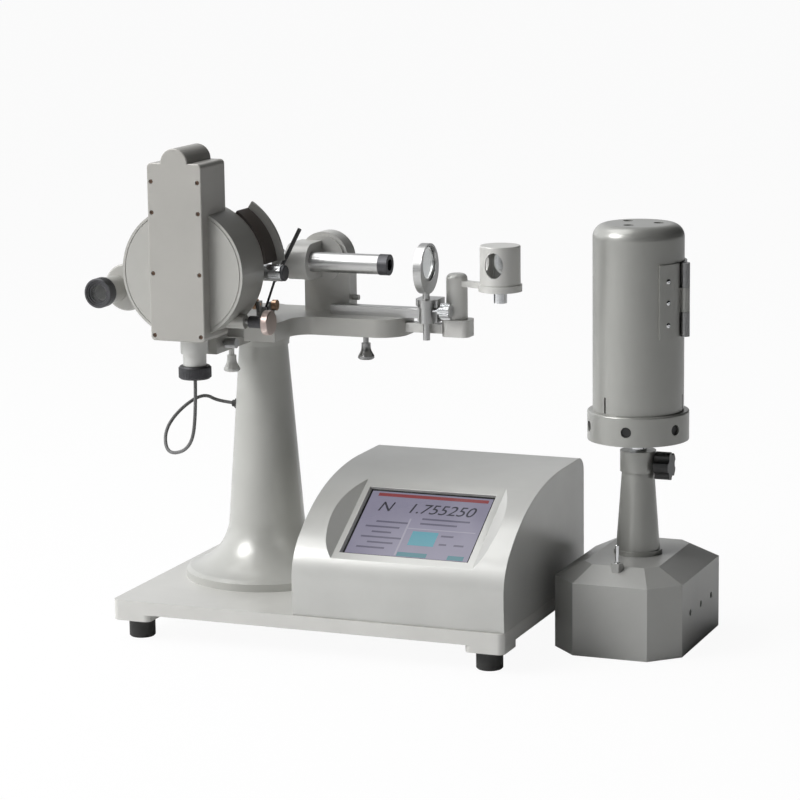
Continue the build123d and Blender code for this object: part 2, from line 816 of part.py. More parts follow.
with BuildPart() as telescope_tube:
    with BuildSketch(sight):
        with BuildLine():
            Polyline(
                (telescope_start, cell_radius),
                (telescope_start + cell_length, cell_radius),
                (telescope_start + cell_length, telescope_radius),
                (tube_end, telescope_radius),
                (tube_end, telescope_radius - telescope_wall),
                (telescope_start, telescope_radius - telescope_wall),
                close=True,
            )
        make_face()
    revolve(axis=sight_axis)
telescope_tube.part.label = "telescope_tube"
export_step(telescope_tube.part, "parts/telescope_tube.step")

with BuildPart() as objective_lens:
    with BuildSketch(Plane(sight.origin, x_dir=(0, 1, 0), z_dir=sight.x_dir).offset(telescope_start + 3)):
        Circle(telescope_radius - telescope_wall - seat_play)
    extrude(amount=objective_thickness)
    chamfer(objective_lens.edges().filter_by(GeomType.CIRCLE), 1)
objective_lens.part.label = "objective_lens"
export_step(objective_lens.part, "parts/objective_lens.step")

# Elbow housing with the eyepiece barrel on its front face
elbow_x = circle_x - elbow_reach * math.cos(drop)
elbow_z = optical_z - elbow_reach * math.sin(drop)
elbow_front = optical_y - elbow_half_width
elbow_back = optical_y + elbow_half_width
barrel_front = elbow_front - barrel_length
prism_leg = 11
with BuildPart() as telescope_elbow:
    with BuildSketch(front_plane(elbow_back, elbow_x, elbow_z)):
        Circle(elbow_radius)
    extrude(amount=2 * elbow_half_width)
    chamfer(telescope_elbow.edges().filter_by(GeomType.CIRCLE), 1.5)
    with BuildSketch(front_plane(elbow_front, eyepiece_x, eyepiece_z)):
        Circle(barrel_radius)
    extrude(amount=barrel_length)
    with BuildSketch(front_plane(barrel_front, eyepiece_x, eyepiece_z)):
        Circle(spigot_radius)
    extrude(amount=spigot_length)
    with BuildSketch(front_plane(elbow_back - elbow_wall, elbow_x, elbow_z)):
        Circle(elbow_radius - elbow_wall)
    extrude(amount=2 * (elbow_half_width - elbow_wall), mode=Mode.SUBTRACT)
    with BuildSketch(front_plane(elbow_front + elbow_wall, eyepiece_x, eyepiece_z)):
        Circle(spigot_radius - 2)
    extrude(amount=elbow_wall + barrel_length + spigot_length, mode=Mode.SUBTRACT)
    with BuildSketch(Plane(sight.origin, x_dir=(0, 1, 0), z_dir=sight.x_dir).offset(arm_outer)):
        Circle(telescope_radius + seat_play)
    extrude(amount=tube_end - arm_outer, mode=Mode.SUBTRACT)
    with BuildSketch(Plane((elbow_x, optical_y, elbow_z - prism_leg))):
        Rectangle(2 * prism_leg - 4, 2 * prism_leg - 4)
    extrude(amount=prism_leg - elbow_radius + elbow_wall / 2)
telescope_elbow.part.label = "telescope_elbow"
export_step(telescope_elbow.part, "parts/telescope_elbow.step")

# Right-angle prism that turns the sight line towards the eyepiece
with BuildPart() as elbow_prism:
    with BuildSketch(Plane((elbow_x, optical_y, elbow_z - prism_leg))):
        with BuildLine():
            Polyline((-prism_leg, -prism_leg), (prism_leg, -prism_leg), (-prism_leg, prism_leg), close=True)
        make_face()
    extrude(amount=2 * prism_leg)
elbow_prism.part.label = "elbow_prism"
export_step(elbow_prism.part, "parts/elbow_prism.step")

# Knurled eyepiece ring that turns on the barrel's spigot, with the eye lens in it
ring_back = barrel_front - 0.1
ring_front = ring_back - eyepiece_length
with BuildPart() as eyepiece_ring:
    with BuildSketch(front_plane(ring_back, eyepiece_x, eyepiece_z)):
        RegularPolygon(eyepiece_radius, 40)
    extrude(amount=eyepiece_length)
    with BuildSketch(front_plane(ring_back, eyepiece_x, eyepiece_z)):
        Circle(spigot_radius + running_play)
    extrude(amount=spigot_length + free_gap, mode=Mode.SUBTRACT)
    with BuildSketch(front_plane(ring_back, eyepiece_x, eyepiece_z)):
        Circle(eye_lens_radius)
    extrude(amount=eyepiece_length, mode=Mode.SUBTRACT)
    with BuildSketch(front_plane(ring_front + 2.5, eyepiece_x, eyepiece_z)):
        Circle(eye_lens_radius + 0.1)
    extrude(amount=2.5, taper=-45, mode=Mode.SUBTRACT)
eyepiece_ring.part.label = "eyepiece_ring"
export_step(eyepiece_ring.part, "parts/eyepiece_ring.step")

with BuildPart() as eyepiece_lens:
    with BuildSketch(front_plane(ring_front + 5.5, eyepiece_x, eyepiece_z)):
        Circle(eye_lens_radius - seat_play)
    extrude(amount=2.5)
eyepiece_lens.part.label = "eyepiece_lens"
export_step(eyepiece_lens.part, "parts/eyepiece_lens.step")

# Prism table on the head, with the V-prism whose groove takes the sample
table_thickness = 5
prism_height = 22
prism_width = 32
prism_depth = 26
groove_depth = 12
prism_bottom = optical_z + 5.5 - prism_height
with BuildPart() as prism_table:
    with BuildSketch(Plane((circle_x, optical_y, arm_top))):
        Circle(15)
    extrude(amount=3)
    with BuildSketch(Plane((circle_x, optical_y, arm_top))):
        Circle(9)
    extrude(amount=prism_bottom - arm_top)
    with BuildSketch(Plane((circle_x, optical_y, prism_bottom - table_thickness))):
        RectangleRounded(prism_width + 4, prism_depth + 8, 3)
    extrude(amount=table_thickness)
prism_table.part.label = "prism_table"
export_step(prism_table.part, "parts/prism_table.step")

with BuildPart() as v_prism:
    with BuildSketch(front_plane(optical_y + prism_depth / 2, circle_x, prism_bottom)):
        with BuildLine():
            Polyline(
                (-prism_width / 2, 0),
                (prism_width / 2, 0),
                (prism_width / 2, prism_height),
                (groove_depth, prism_height),
                (0, prism_height - groove_depth),
                (-groove_depth, prism_height),
                (-prism_width / 2, prism_height),
                close=True,
            )
        make_face()
    extrude(amount=prism_depth)
v_prism.part.label = "v_prism"
export_step(v_prism.part, "parts/v_prism.step")

# Tangent screw: chrome knob, knurled sleeve and the rod that runs in the drum's boss
tangent_knob_left = tangent_knob_right - tangent_knob_thickness
sleeve_left = tangent_knob_left - sleeve_length
with BuildPart() as tangent_screw:
    with BuildSketch(side_plane(tangent_knob_left, tangent_y, tangent_z)):
        Circle(tangent_knob_radius)
    extrude(amount=tangent_knob_thickness)
    fillet(tangent_screw.edges().filter_by(GeomType.CIRCLE), 2)
    with BuildSketch(side_plane(sleeve_left, tangent_y, tangent_z)):
        RegularPolygon(sleeve_radius, 24)
    extrude(amount=sleeve_length)
    with BuildSketch(side_plane(tangent_boss_right - 14, tangent_y, tangent_z)):
        Circle(screw_rod_radius)
    extrude(amount=sleeve_left - tangent_boss_right + 14)
tangent_screw.part.label = "tangent_screw"
export_step(tangent_screw.part, "parts/tangent_screw.step")


def bell_knob(x, y, top, stem):
    """A bell-shaped knob hanging on its screw; top is where the screw enters the casting."""
    with BuildPart() as knob:
        with BuildSketch(front_plane(y, x, top)):
            with BuildLine():
                Polyline(
                    (0, bell_screw_depth),
                    (screw_rod_radius, bell_screw_depth),
                    (screw_rod_radius, -stem),
                    (bell_neck_radius, -stem),
                )
                bell = Spline(
                    (bell_neck_radius, -stem),
                    (bell_neck_radius + 0.6, -stem - 0.45 * bell_height),
                    (bell_radius, -stem - bell_height + 3),
                    tangents=((0, -1), (0.5, -1)),
                )
                Polyline(
                    bell @ 1,
                    (bell_radius, -stem - bell_height + 1),
                    (bell_radius - 1.2, -stem - bell_height),
                    (0, -stem - bell_height),
                    (0, bell_screw_depth),
                )
            make_face()
        revolve(axis=upright_axis(x, y))
    return knob


lock_knob = bell_knob(lock_x, lock_y, beam_bottom, lock_stem)
lock_knob.part.label = "lock_knob"
export_step(lock_knob.part, "parts/lock_knob.step")

arm_clamp_knob = bell_knob(arm_knob_x, slider_y, slider_bottom - 1 - bell_screw_depth, arm_knob_stem - 4)
arm_clamp_knob.part.label = "arm_clamp_knob"
export_step(arm_clamp_knob.part, "parts/arm_clamp_knob.step")

with BuildPart() as stop_knob:
    with BuildSketch(side_plane(circle_x + beam_half_width + stop_gap, stop_y, stop_z)):
        RegularPolygon(stop_radius, 20)
    extrude(amount=stop_length)
    with BuildSketch(side_plane(circle_x + beam_half_width - bell_screw_depth + 1, stop_y, stop_z)):
        Circle(stop_rod_radius)
    extrude(amount=bell_screw_depth - 1 + stop_gap)
stop_knob.part.label = "stop_knob"
export_step(stop_knob.part, "parts/stop_knob.step")

# Lever bracket on the head, with a stop screw through each post and the bent lever between
bracket_floor = 3
pivot_z = arm_top + lever_pivot_height
screw_z = arm_top + bracket_height - 3
with BuildPart() as lever_bracket:
    with BuildSketch(front_plane(lever_y + bracket_depth / 2, lever_x, arm_top)):
        with BuildLine():
            Polyline(
                (-bracket_half, 0),
                (bracket_half, 0),
                (bracket_half, bracket_height),
                (bracket_half - bracket_post, bracket_height),
                (bracket_half - bracket_post, bracket_floor),
                (-bracket_half + bracket_post, bracket_floor),
                (-bracket_half + bracket_post, bracket_height),
                (-bracket_half, bracket_height),
                close=True,
            )
        make_face()
    extrude(amount=bracket_depth)
    with BuildSketch(side_plane(lever_x - bracket_half, lever_y, screw_z)):
        Circle(stop_rod_radius + running_play)
    extrude(amount=2 * bracket_half, mode=Mode.SUBTRACT)
    for pin_front in (lever_y - 1.7, lever_y + bracket_depth / 2):
        with BuildSketch(front_plane(pin_front, lever_x, arm_top)):
            with Locations((0, lever_pivot_height / 2)):
                Rectangle(5, lever_pivot_height)
            with Locations((0, lever_pivot_height)):
                Circle(2.5)
        extrude(amount=bracket_depth / 2 - 1.7)
    with BuildSketch(front_plane(lever_y + bracket_depth / 2, lever_x, pivot_z)):
        Circle(1)
    extrude(amount=bracket_depth)
lever_bracket.part.label = "lever_bracket"
export_step(lever_bracket.part, "parts/lever_bracket.step")

for side, screw_name in ((-1, "lever_screw_left"), (1, "lever_screw_right")):
    with BuildPart() as lever_screw:
        with BuildSketch(side_plane(lever_x + side * (bracket_half + 0.5), lever_y, screw_z)):
            RegularPolygon(lever_screw_radius, 20)
        extrude(amount=side * lever_screw_width)
        with BuildSketch(side_plane(lever_x + side * (bracket_half + 0.5), lever_y, screw_z)):
            Circle(stop_rod_radius)
        extrude(amount=-side * (bracket_post + 0.5))
    lever_screw.part.label = screw_name
    export_step(lever_screw.part, f"parts/{screw_name}.step")

lever_grip_start = (lever_x + lever_bend[0], pivot_z + lever_bend[1])
with BuildPart() as lever_rod:
    with BuildSketch(front_plane(lever_y + 1.2, lever_x, pivot_z)):
        Circle(2.4)
        Circle(1 + running_play, mode=Mode.SUBTRACT)
    extrude(amount=2.4)
    rod_low = Plane(
        origin=(lever_x, lever_y, pivot_z),
        x_dir=(0, 1, 0),
        z_dir=(lever_bend[0], 0, lever_bend[1]),
    )
    rod_length = math.hypot(*lever_bend)
    with BuildSketch(rod_low.offset(2)):
        Circle(lever_rod_radius)
    extrude(amount=rod_length - 2 + 1)
    grip_run = (lever_tip[0] - lever_bend[0], lever_tip[1] - lever_bend[1])
    grip_low = Plane(
        origin=(lever_grip_start[0], lever_y, lever_grip_start[1]),
        x_dir=(0, 1, 0),
        z_dir=(grip_run[0], 0, grip_run[1]),
    )
    with BuildSketch(grip_low):
        Circle(lever_grip_radius)
    extrude(amount=math.hypot(*grip_run))
lever_rod.part.label = "lever_rod"
export_step(lever_rod.part, "parts/lever_rod.step")

# Collimator bracket: pillar with a round head and the clamp round the tube
with BuildPart() as collimator_bracket:
    with BuildSketch(front_plane(pillar_back, 0, arm_top)):
        with Locations(((pillar_left + pillar_right) / 2, (optical_z - arm_top) / 2)):
            Rectangle(pillar_right - pillar_left, optical_z - arm_top)
        with Locations((disc_boss_x, optical_z - arm_top)):
            Circle(disc_boss_radius)
    extrude(amount=pillar_back - pillar_front)
    with BuildSketch(front_plane(pillar_front, disc_boss_x, optical_z)):
        Circle(disc_step_radius)
    extrude(amount=disc_step)
    with BuildSketch(front_plane(pillar_back, disc_boss_x, optical_z)):
        Circle(disc_step_radius)
    extrude(amount=-disc_step)
    with BuildSketch(side_plane(clamp_left, optical_y, optical_z)):
        Circle(clamp_radius)
    extrude(amount=clamp_right - clamp_left)
    with BuildSketch(front_plane(pillar_front, (clamp_left + clamp_right) / 2, optical_z)):
        Rectangle(clamp_right - clamp_left, 2 * clamp_radius)
    extrude(amount=pillar_front - optical_y)
    with BuildSketch(side_plane(clamp_left, optical_y, optical_z)):
        Circle(tube_radius + seat_play)
    extrude(amount=pillar_right - clamp_left, mode=Mode.SUBTRACT)
    with BuildSketch(side_plane(pillar_right, (pillar_front + pillar_back) / 2, side_screw_z)):
        Circle(side_screw_radius)
    extrude(amount=side_screw_length)
collimator_bracket.part.label = "collimator_bracket"
export_step(collimator_bracket.part, "parts/collimator_bracket.step")

with BuildPart() as collimator_tube:
    with BuildSketch(side_plane(tube_left, optical_y, optical_z)):
        Circle(tube_radius)
        Circle(tube_radius - tube_wall, mode=Mode.SUBTRACT)
    extrude(amount=tube_right - tube_left)
    with BuildSketch(side_plane(tube_left, optical_y, optical_z)):
        Circle(tube_radius + 1.5)
        Circle(tube_radius - tube_wall, mode=Mode.SUBTRACT)
    extrude(amount=6)
    with BuildSketch(side_plane(tube_right, optical_y, optical_z)):
        Circle(tube_radius - 1)
        Circle(tube_radius - tube_wall - 1, mode=Mode.SUBTRACT)
    extrude(amount=slit_ring_length - 3)
collimator_tube.part.label = "collimator_tube"
export_step(collimator_tube.part, "parts/collimator_tube.step")

# Slit ring on the tube's end
with BuildPart() as slit_ring:
    with BuildSketch(side_plane(tube_right + 0.1, optical_y, optical_z)):
        RegularPolygon(slit_ring_radius, 36)
    extrude(amount=slit_ring_length)
    with BuildSketch(side_plane(tube_right + 0.1, optical_y, optical_z)):
        Circle(tube_radius - 1 + running_play)
    extrude(amount=slit_ring_length - 3 + 0.1, mode=Mode.SUBTRACT)
    with BuildSketch(side_plane(tube_right, optical_y, optical_z)):
        Circle(tube_radius - tube_wall - 2.5)
    extrude(amount=slit_ring_length + 1, mode=Mode.SUBTRACT)
slit_ring.part.label = "slit_ring"
export_step(slit_ring.part, "parts/slit_ring.step")

# Rail bar on the arm
with BuildPart() as rail_bar:
    with BuildSketch(Plane.XY.offset(arm_top)):
        with Locations(((rail_left + rail_right) / 2, (rail_front + rail_back) / 2)):
            Rectangle(rail_right - rail_left, rail_back - rail_front)
    extrude(amount=rail_height)
    chamfer(rail_bar.faces().sort_by(Axis.Z)[-1].edges(), 0.6)
rail_bar.part.label = "rail_bar"
export_step(rail_bar.part, "parts/rail_bar.step")

# Slider bar in the arm's slot with the end block that carries the mirror post
with BuildPart() as slider_bar:
    with BuildSketch(Plane.XY.offset(slider_bottom)):
        with Locations(((slider_left + end_left) / 2 + 1, slider_y)):
            Rectangle(end_left - slider_left + 2, 2 * slider_half)
    extrude(amount=slider_top - slider_bottom)
    with BuildSketch(Plane.XY.offset(end_bottom)):
        with Locations(((end_left + end_right) / 2, (end_front + end_back) / 2)):
            RectangleRounded(end_right - end_left, end_back - end_front, end_corner)
    extrude(amount=end_top - end_bottom)
    with BuildSketch(Plane((post_x, post_y, end_top))):
        Circle(pivot_radius + running_play)
    extrude(amount=-pivot_depth - free_gap, mode=Mode.SUBTRACT)
slider_bar.part.label = "slider_bar"
export_step(slider_bar.part, "parts/slider_bar.step")

# Lens holder that rides on the rail, with the boss for the lens stem
with BuildPart() as lens_holder:
    with BuildSketch(Plane.XY.offset(holder_bottom)):
        with Locations((lens_x - 0.5, (holder_front + holder_back) / 2)):
            Rectangle(
                holder_right - holder_left - 2 * holder_plate_lip,
                holder_back - holder_front - 2 * holder_plate_lip,
            )
        with Locations((lens_x, optical_y)):
            Circle(lens_boss_radius)
    extrude(amount=holder_top - holder_bottom)
    with BuildSketch(Plane.XY.offset(holder_top - holder_plate)):
        with Locations(((holder_left + holder_right) / 2, (holder_front + holder_back) / 2)):
            RectangleRounded(holder_right - holder_left, holder_back - holder_front, 2)
        with Locations((lens_x, optical_y)):
            Circle(lens_boss_radius + holder_plate_lip)
    extrude(amount=holder_plate)
    with BuildSketch(side_plane(holder_left, (rail_front + rail_back) / 2, arm_top + rail_height / 2)):
        Rectangle(rail_back - rail_front + 2 * free_gap, rail_height + 2 * free_gap)
    extrude(amount=holder_right - holder_left, mode=Mode.SUBTRACT)
    with BuildSketch(Plane((lens_x, optical_y, holder_bottom))):
        Circle(lens_stem_radius + running_play)
    extrude(amount=holder_top - holder_bottom, mode=Mode.SUBTRACT)
    with BuildSketch(side_plane(lens_x, optical_y, lens_knob_z)):
        Circle(thumb_rod_radius + running_play)
    extrude(amount=holder_right - lens_x, mode=Mode.SUBTRACT)
lens_holder.part.label = "lens_holder"
export_step(lens_holder.part, "parts/lens_holder.step")

# Lens ring with its off-centre hole, on a stem
lens_z = lens_outer_z + lens_hole_offset
with BuildPart() as lens_mount:
    with BuildSketch(side_plane(lens_x, optical_y, lens_outer_z)):
        Circle(lens_outer_radius)
    extrude(amount=lens_ring_width / 2, both=True)
    with BuildSketch(side_plane(lens_x, optical_y, lens_z)):
        Circle(lens_hole_radius)
    extrude(amount=lens_ring_width, both=True, mode=Mode.SUBTRACT)
    with BuildSketch(side_plane(lens_x + lens_ring_width / 2, optical_y, lens_z)):
        Circle(lens_hole_radius + 1.5)
    extrude(amount=-1.2, mode=Mode.SUBTRACT)
    with BuildSketch(Plane((lens_x, optical_y, lens_stem_bottom))):
        Circle(lens_stem_radius)
    extrude(amount=lens_outer_z - lens_outer_radius + 2 - lens_stem_bottom)
lens_mount.part.label = "lens_mount"
export_step(lens_mount.part, "parts/lens_mount.step")

with BuildPart() as condenser_lens:
    with BuildSketch(side_plane(lens_x, optical_y, lens_z)):
        Circle(lens_hole_radius - seat_play)
    extrude(amount=lens_thickness / 2, both=True)
    fillet(condenser_lens.edges().filter_by(GeomType.CIRCLE), (lens_thickness - lens_rim) / 2)
condenser_lens.part.label = "condenser_lens"
export_step(condenser_lens.part, "parts/condenser_lens.step")


def lobed_grip(radius, lobes, bite):
    """A round grip with scallops bitten out between its lobes, for a sketch."""
    Circle(radius)
    with PolarLocations(radius * 1.12, lobes):
        Circle(bite, mode=Mode.SUBTRACT)


with BuildPart() as lens_knob:
    with BuildSketch(side_plane(lens_knob_left, optical_y, lens_knob_z)):
        lobed_grip(lens_knob_radius, 6, 2.4)
    extrude(amount=lens_knob_length)
    with BuildSketch(side_plane(lens_knob_left - 3, optical_y, lens_knob_z)):
        Circle(lens_knob_radius / 2)
    extrude(amount=3)
    with BuildSketch(side_plane(lens_x + lens_stem_radius + free_gap, optical_y, lens_knob_z)):
        Circle(thumb_rod_radius)
    extrude(amount=lens_knob_left - lens_x - lens_stem_radius - free_gap)
lens_knob.part.label = "lens_knob"
export_step(lens_knob.part, "parts/lens_knob.step")

# Mirror post: turns on its pivot in the end block and carries the turret's plate on a thin arm
arm_run = Vector(turret_x - post_x, turret_y - post_y, 0)
with BuildPart() as mirror_post:
    with BuildSketch(Plane((post_x, post_y, end_top))):
        Circle(post_radius)
    extrude(amount=post_top - end_top)
    fillet(mirror_post.edges().filter_by(GeomType.CIRCLE).group_by(Axis.Z)[-1], 5)
    with BuildSketch(Plane((post_x, post_y, end_top))):
        Circle(pivot_radius)
    extrude(amount=-pivot_depth)
    with BuildSketch(Plane(origin=(post_x, post_y, plate_bottom + 0.5), x_dir=arm_run)):
        with Locations((arm_run.length / 2, 0)):
            Rectangle(arm_run.length, arm_bar_width)
    extrude(amount=plate_top - plate_bottom - 1)
    with BuildSketch(Plane((turret_x, turret_y, plate_bottom))):
        Circle(plate_radius)
    extrude(amount=plate_top - plate_bottom)
    with BuildSketch(Plane((turret_x, turret_y, plate_bottom))):
        Circle(pivot_radius + running_play)
    extrude(amount=plate_top - plate_bottom, mode=Mode.SUBTRACT)
mirror_post.part.label = "mirror_post"
export_step(mirror_post.part, "parts/mirror_post.step")

# Turret: a cap with two oval windows that turns on the plate with the mirror inside
turret_bottom = plate_top + 0.1
with BuildPart() as turret_shell:
    with BuildSketch(Plane((turret_x, turret_y, turret_bottom))):
        Circle(turret_radius)
    extrude(amount=turret_top - turret_bottom)
    fillet(turret_shell.edges().filter_by(GeomType.CIRCLE).group_by(Axis.Z)[-1], 1)
    with BuildSketch(Plane((turret_x, turret_y, turret_bottom + turret_wall))):
        Circle(turret_radius - turret_wall)
    extrude(amount=turret_top - turret_bottom - 2 * turret_wall, mode=Mode.SUBTRACT)
    with BuildSketch(front_plane(turret_y, turret_x, window_z)):
        Ellipse(window_half_width, window_half_height)
    extrude(amount=turret_radius, mode=Mode.SUBTRACT)
    with BuildSketch(side_plane(turret_x, turret_y, window_z)):
        Ellipse(window_half_width, window_half_height)
    extrude(amount=-turret_radius, mode=Mode.SUBTRACT)
    with BuildSketch(Plane((turret_x, turret_y, turret_bottom))):
        Circle(pivot_radius)
    extrude(amount=plate_bottom - thumb_neck - thumb_length + 2 - turret_bottom)
turret_shell.part.label = "turret_shell"
export_step(turret_shell.part, "parts/turret_shell.step")

with BuildPart() as turret_mirror:
    mirror_plane = Plane(
        origin=(turret_x, turret_y, turret_bottom + turret_wall),
        x_dir=(1, -1, 0),
        z_dir=(0, 0, 1),
    )
    with BuildSketch(mirror_plane):
        Rectangle(mirror_width, mirror_thickness)
    extrude(amount=mirror_height)
turret_mirror.part.label = "turret_mirror"
export_step(turret_mirror.part, "parts/turret_mirror.step")

thumb_top = plate_bottom - 0.1
with BuildPart() as turret_nut:
    with BuildSketch(Plane((turret_x, turret_y, thumb_top))):
        Circle(thumb_neck_radius)
    extrude(amount=-thumb_neck)
    with BuildSketch(Plane((turret_x, turret_y, thumb_top - thumb_neck))):
        RegularPolygon(thumb_radius, 18)
    extrude(amount=-thumb_length)
    with BuildSketch(Plane((turret_x, turret_y, thumb_top))):
        Circle(pivot_radius + running_play)
    extrude(amount=-thumb_neck - thumb_length + 1.5, mode=Mode.SUBTRACT)
turret_nut.part.label = "turret_nut"
export_step(turret_nut.part, "parts/turret_nut.step")

# Console: a bent sheet that is front, sloping face, top and back, over a folded box
slope = math.radians(slope_angle)
slope_up = Vector(0, math.cos(slope), math.sin(slope))
chin = (console_front, base_top + chin_height)
slope_end = (chin[0] + slope_length * slope_up.Y, chin[1] + slope_length * slope_up.Z)
console_top = base_top + console_height
slope_plane = Plane(
    origin=(screen_x, chin[0], chin[1]),
    x_dir=(1, 0, 0),
    z_dir=(0, -slope_up.Z, slope_up.Y),
)
screen_y = screen_start + screen_height / 2


def console_outline():
    """The side view of the console's sheet, outer face, a little below the tray's top."""
    with BuildSketch(Plane.XY) as outline:
        with BuildLine():
            roof = ThreePointArc(
                slope_end,
                ((slope_end[0] + top_flat_y) / 2, console_top - 0.25 * (console_top - slope_end[1])),
                (top_flat_y, console_top),
            )
            Polyline(
                roof @ 1,
                (console_back, console_top),
                (console_back, base_top - fascia_thickness),
                (console_front, base_top - fascia_thickness),
                chin,
                roof @ 0,
            )
        make_face()
        fillet(outline.vertices().group_by(Axis.X)[0].sort_by(Axis.Y)[-1], chin_radius)
        fillet(outline.vertices().group_by(Axis.X)[-1].sort_by(Axis.Y)[-1], back_radius)
    return outline.sketch


with BuildPart() as console_fascia:
    with BuildSketch(side_plane(console_left)) as fascia_profile:
        add(console_outline())
        offset(amount=-fascia_thickness, kind=Kind.INTERSECTION, mode=Mode.SUBTRACT)
        with Locations((0, base_top + console_height)):
            Rectangle(2 * base_depth, 2 * console_height, mode=Mode.INTERSECT)
    extrude(amount=console_right - console_left)
    with BuildSketch(slope_plane.offset(-fascia_thickness - 1)):
        with Locations((0, screen_y)):
            Rectangle(screen_width, screen_height)
    with BuildSketch(slope_plane.offset(0.01)):
        with Locations(((margin_right - margin_left) / 2, screen_y + (margin_high - margin_low) / 2)):
            RectangleRounded(
                screen_width + margin_left + margin_right,
                screen_height + margin_low + margin_high,
                4,
            )
    loft(mode=Mode.SUBTRACT)
console_fascia.part.label = "console_fascia"
export_step(console_fascia.part, "parts/console_fascia.step")

with BuildPart() as console_body:
    with BuildSketch(side_plane(console_left + side_inset)):
        add(console_outline())
        offset(amount=-fascia_thickness, kind=Kind.INTERSECTION)
        with Locations((0, base_top + console_height)):
            Rectangle(2 * base_depth, 2 * console_height, mode=Mode.INTERSECT)
    extrude(amount=console_right - console_left - 2 * side_inset)
    with BuildSketch(Plane.XY.offset(base_top + body_wall)):
        with Locations(((console_left + console_right) / 2, (console_front + console_back) / 2)):
            Rectangle(
                console_right - console_left - 2 * side_inset - 2 * body_wall,
                2 * base_depth,
            )
    extrude(amount=console_height, mode=Mode.SUBTRACT)
console_body.part.label = "console_body"
export_step(console_body.part, "parts/console_body.step")

with BuildPart() as display_panel:
    with BuildSketch(slope_plane.offset(-fascia_thickness - panel_thickness)):
        with Locations((0, screen_y)):
            Rectangle(screen_width + 2 * panel_lap, screen_height + 2 * panel_lap)
    extrude(amount=panel_thickness)
display_panel.part.label = "display_panel"
export_step(display_panel.part, "parts/display_panel.step")


def lamp_outline(inset):
    """The lamp base seen from above: a rectangle with cut corners, for a sketch."""
    half_x = lamp_base_width / 2 - inset
    half_y = lamp_base_depth / 2 - inset
    cut = lamp_base_chamfer - 0.586 * inset
    Polygon(
        (half_x, half_y - cut),
        (half_x - cut, half_y),
        (cut - half_x, half_y),
        (-half_x, half_y - cut),
        (-half_x, cut - half_y),
        (cut - half_x, -half_y),
        (half_x - cut, -half_y),
        (half_x, cut - half_y),
        align=None,
    )


# Lamp base: a hollow box with cut corners and a low hipped roof, with the switch's nut on it
lamp_roof_z = lamp_wall_height + lamp_roof_rise
toggle_pivot_z = lamp_roof_z + 1.5
with BuildPart() as lamp_base:
    with BuildSketch(Plane((lamp_x, lamp_y, 0))):
        lamp_outline(0)
    extrude(amount=lamp_wall_height)
    with BuildSketch(Plane((lamp_x, lamp_y, lamp_wall_height))):
        lamp_outline(0)
    with BuildSketch(Plane((lamp_x, lamp_y, lamp_roof_z))):
        lamp_outline(lamp_roof_inset)
    loft()
    with BuildSketch(Plane((lamp_x, lamp_y, lamp_base_wall))):
        lamp_outline(lamp_base_wall)
    extrude(amount=lamp_wall_height - 2 * lamp_base_wall, mode=Mode.SUBTRACT)
    with BuildSketch(side_plane(lamp_x + lamp_base_width / 2, lamp_y, lamp_jack_z)):
        with GridLocations(lamp_jack_pitch, 1, 3, 1):
            Circle(lamp_jack_radius)
    extrude(amount=-lamp_base_wall, mode=Mode.SUBTRACT)
    with BuildSketch(Plane((toggle_x, toggle_y, lamp_roof_z - 5))):
        RegularPolygon(toggle_nut_radius, 6)
    extrude(amount=toggle_nut_height + 3)
    with BuildSketch(Plane((toggle_x, toggle_y, toggle_pivot_z - toggle_ball_radius))):
        Circle(toggle_ball_radius + running_play)
    extrude(amount=toggle_nut_height + 3, mode=Mode.SUBTRACT)
lamp_base.part.label = "lamp_base"
export_step(lamp_base.part, "parts/lamp_base.step")

with BuildPart() as lamp_toggle:
    with Locations((toggle_x, toggle_y, toggle_pivot_z)):
        Sphere(toggle_ball_radius)
    with BuildSketch(Plane((toggle_x, toggle_y, toggle_pivot_z))):
        Circle(toggle_radius)
    extrude(amount=toggle_length + 2)
    fillet(lamp_toggle.edges().filter_by(GeomType.CIRCLE).group_by(Axis.Z)[-1], 1)
lamp_toggle.part.label = "lamp_toggle"
export_step(lamp_toggle.part, "parts/lamp_toggle.step")

# Lamp post: a turned taper with a collar, bored for the stem
stem_travel_down = 10
post_bore_bottom = stem_bottom - stem_travel_down - 3
with BuildPart() as lamp_post:
    with BuildSketch(front_plane(lamp_y, lamp_x, lamp_roof_z)):
        with BuildLine():
            post_rise = lamp_post_top - lamp_roof_z
            Polyline(
                (0, 0),
                (foot_ring_radius, 0),
                (foot_ring_radius, foot_ring_height),
                (post_low_radius, foot_ring_height),
                (post_high_radius, post_rise),
                (post_collar_radius, post_rise),
                (post_collar_radius, post_rise + post_collar_height),
                (stem_radius + running_play, post_rise + post_collar_height),
                (stem_radius + running_play, post_bore_bottom - lamp_roof_z),
                (0, post_bore_bottom - lamp_roof_z),
                close=True,
            )
        make_face()
    revolve(axis=upright_axis(lamp_x, lamp_y))
    with BuildSketch(side_plane(lamp_x, lamp_y, star_z)):
        Circle(screw_rod_radius + running_play)
    extrude(amount=2 * post_collar_radius, mode=Mode.SUBTRACT)
lamp_post.part.label = "lamp_post"
export_step(lamp_post.part, "parts/lamp_post.step")

with BuildPart() as lamp_stem:
    with BuildSketch(Plane((lamp_x, lamp_y, stem_bottom))):
        Circle(stem_radius)
    extrude(amount=lamp_collar_bottom - 0.1 - stem_bottom)
    with BuildSketch(Plane((lamp_x, lamp_y, lamp_collar_bottom - 0.1))):
        Circle(stem_spigot_radius)
    extrude(amount=lamp_collar_wall)
lamp_stem.part.label = "lamp_stem"
export_step(lamp_stem.part, "parts/lamp_stem.step")

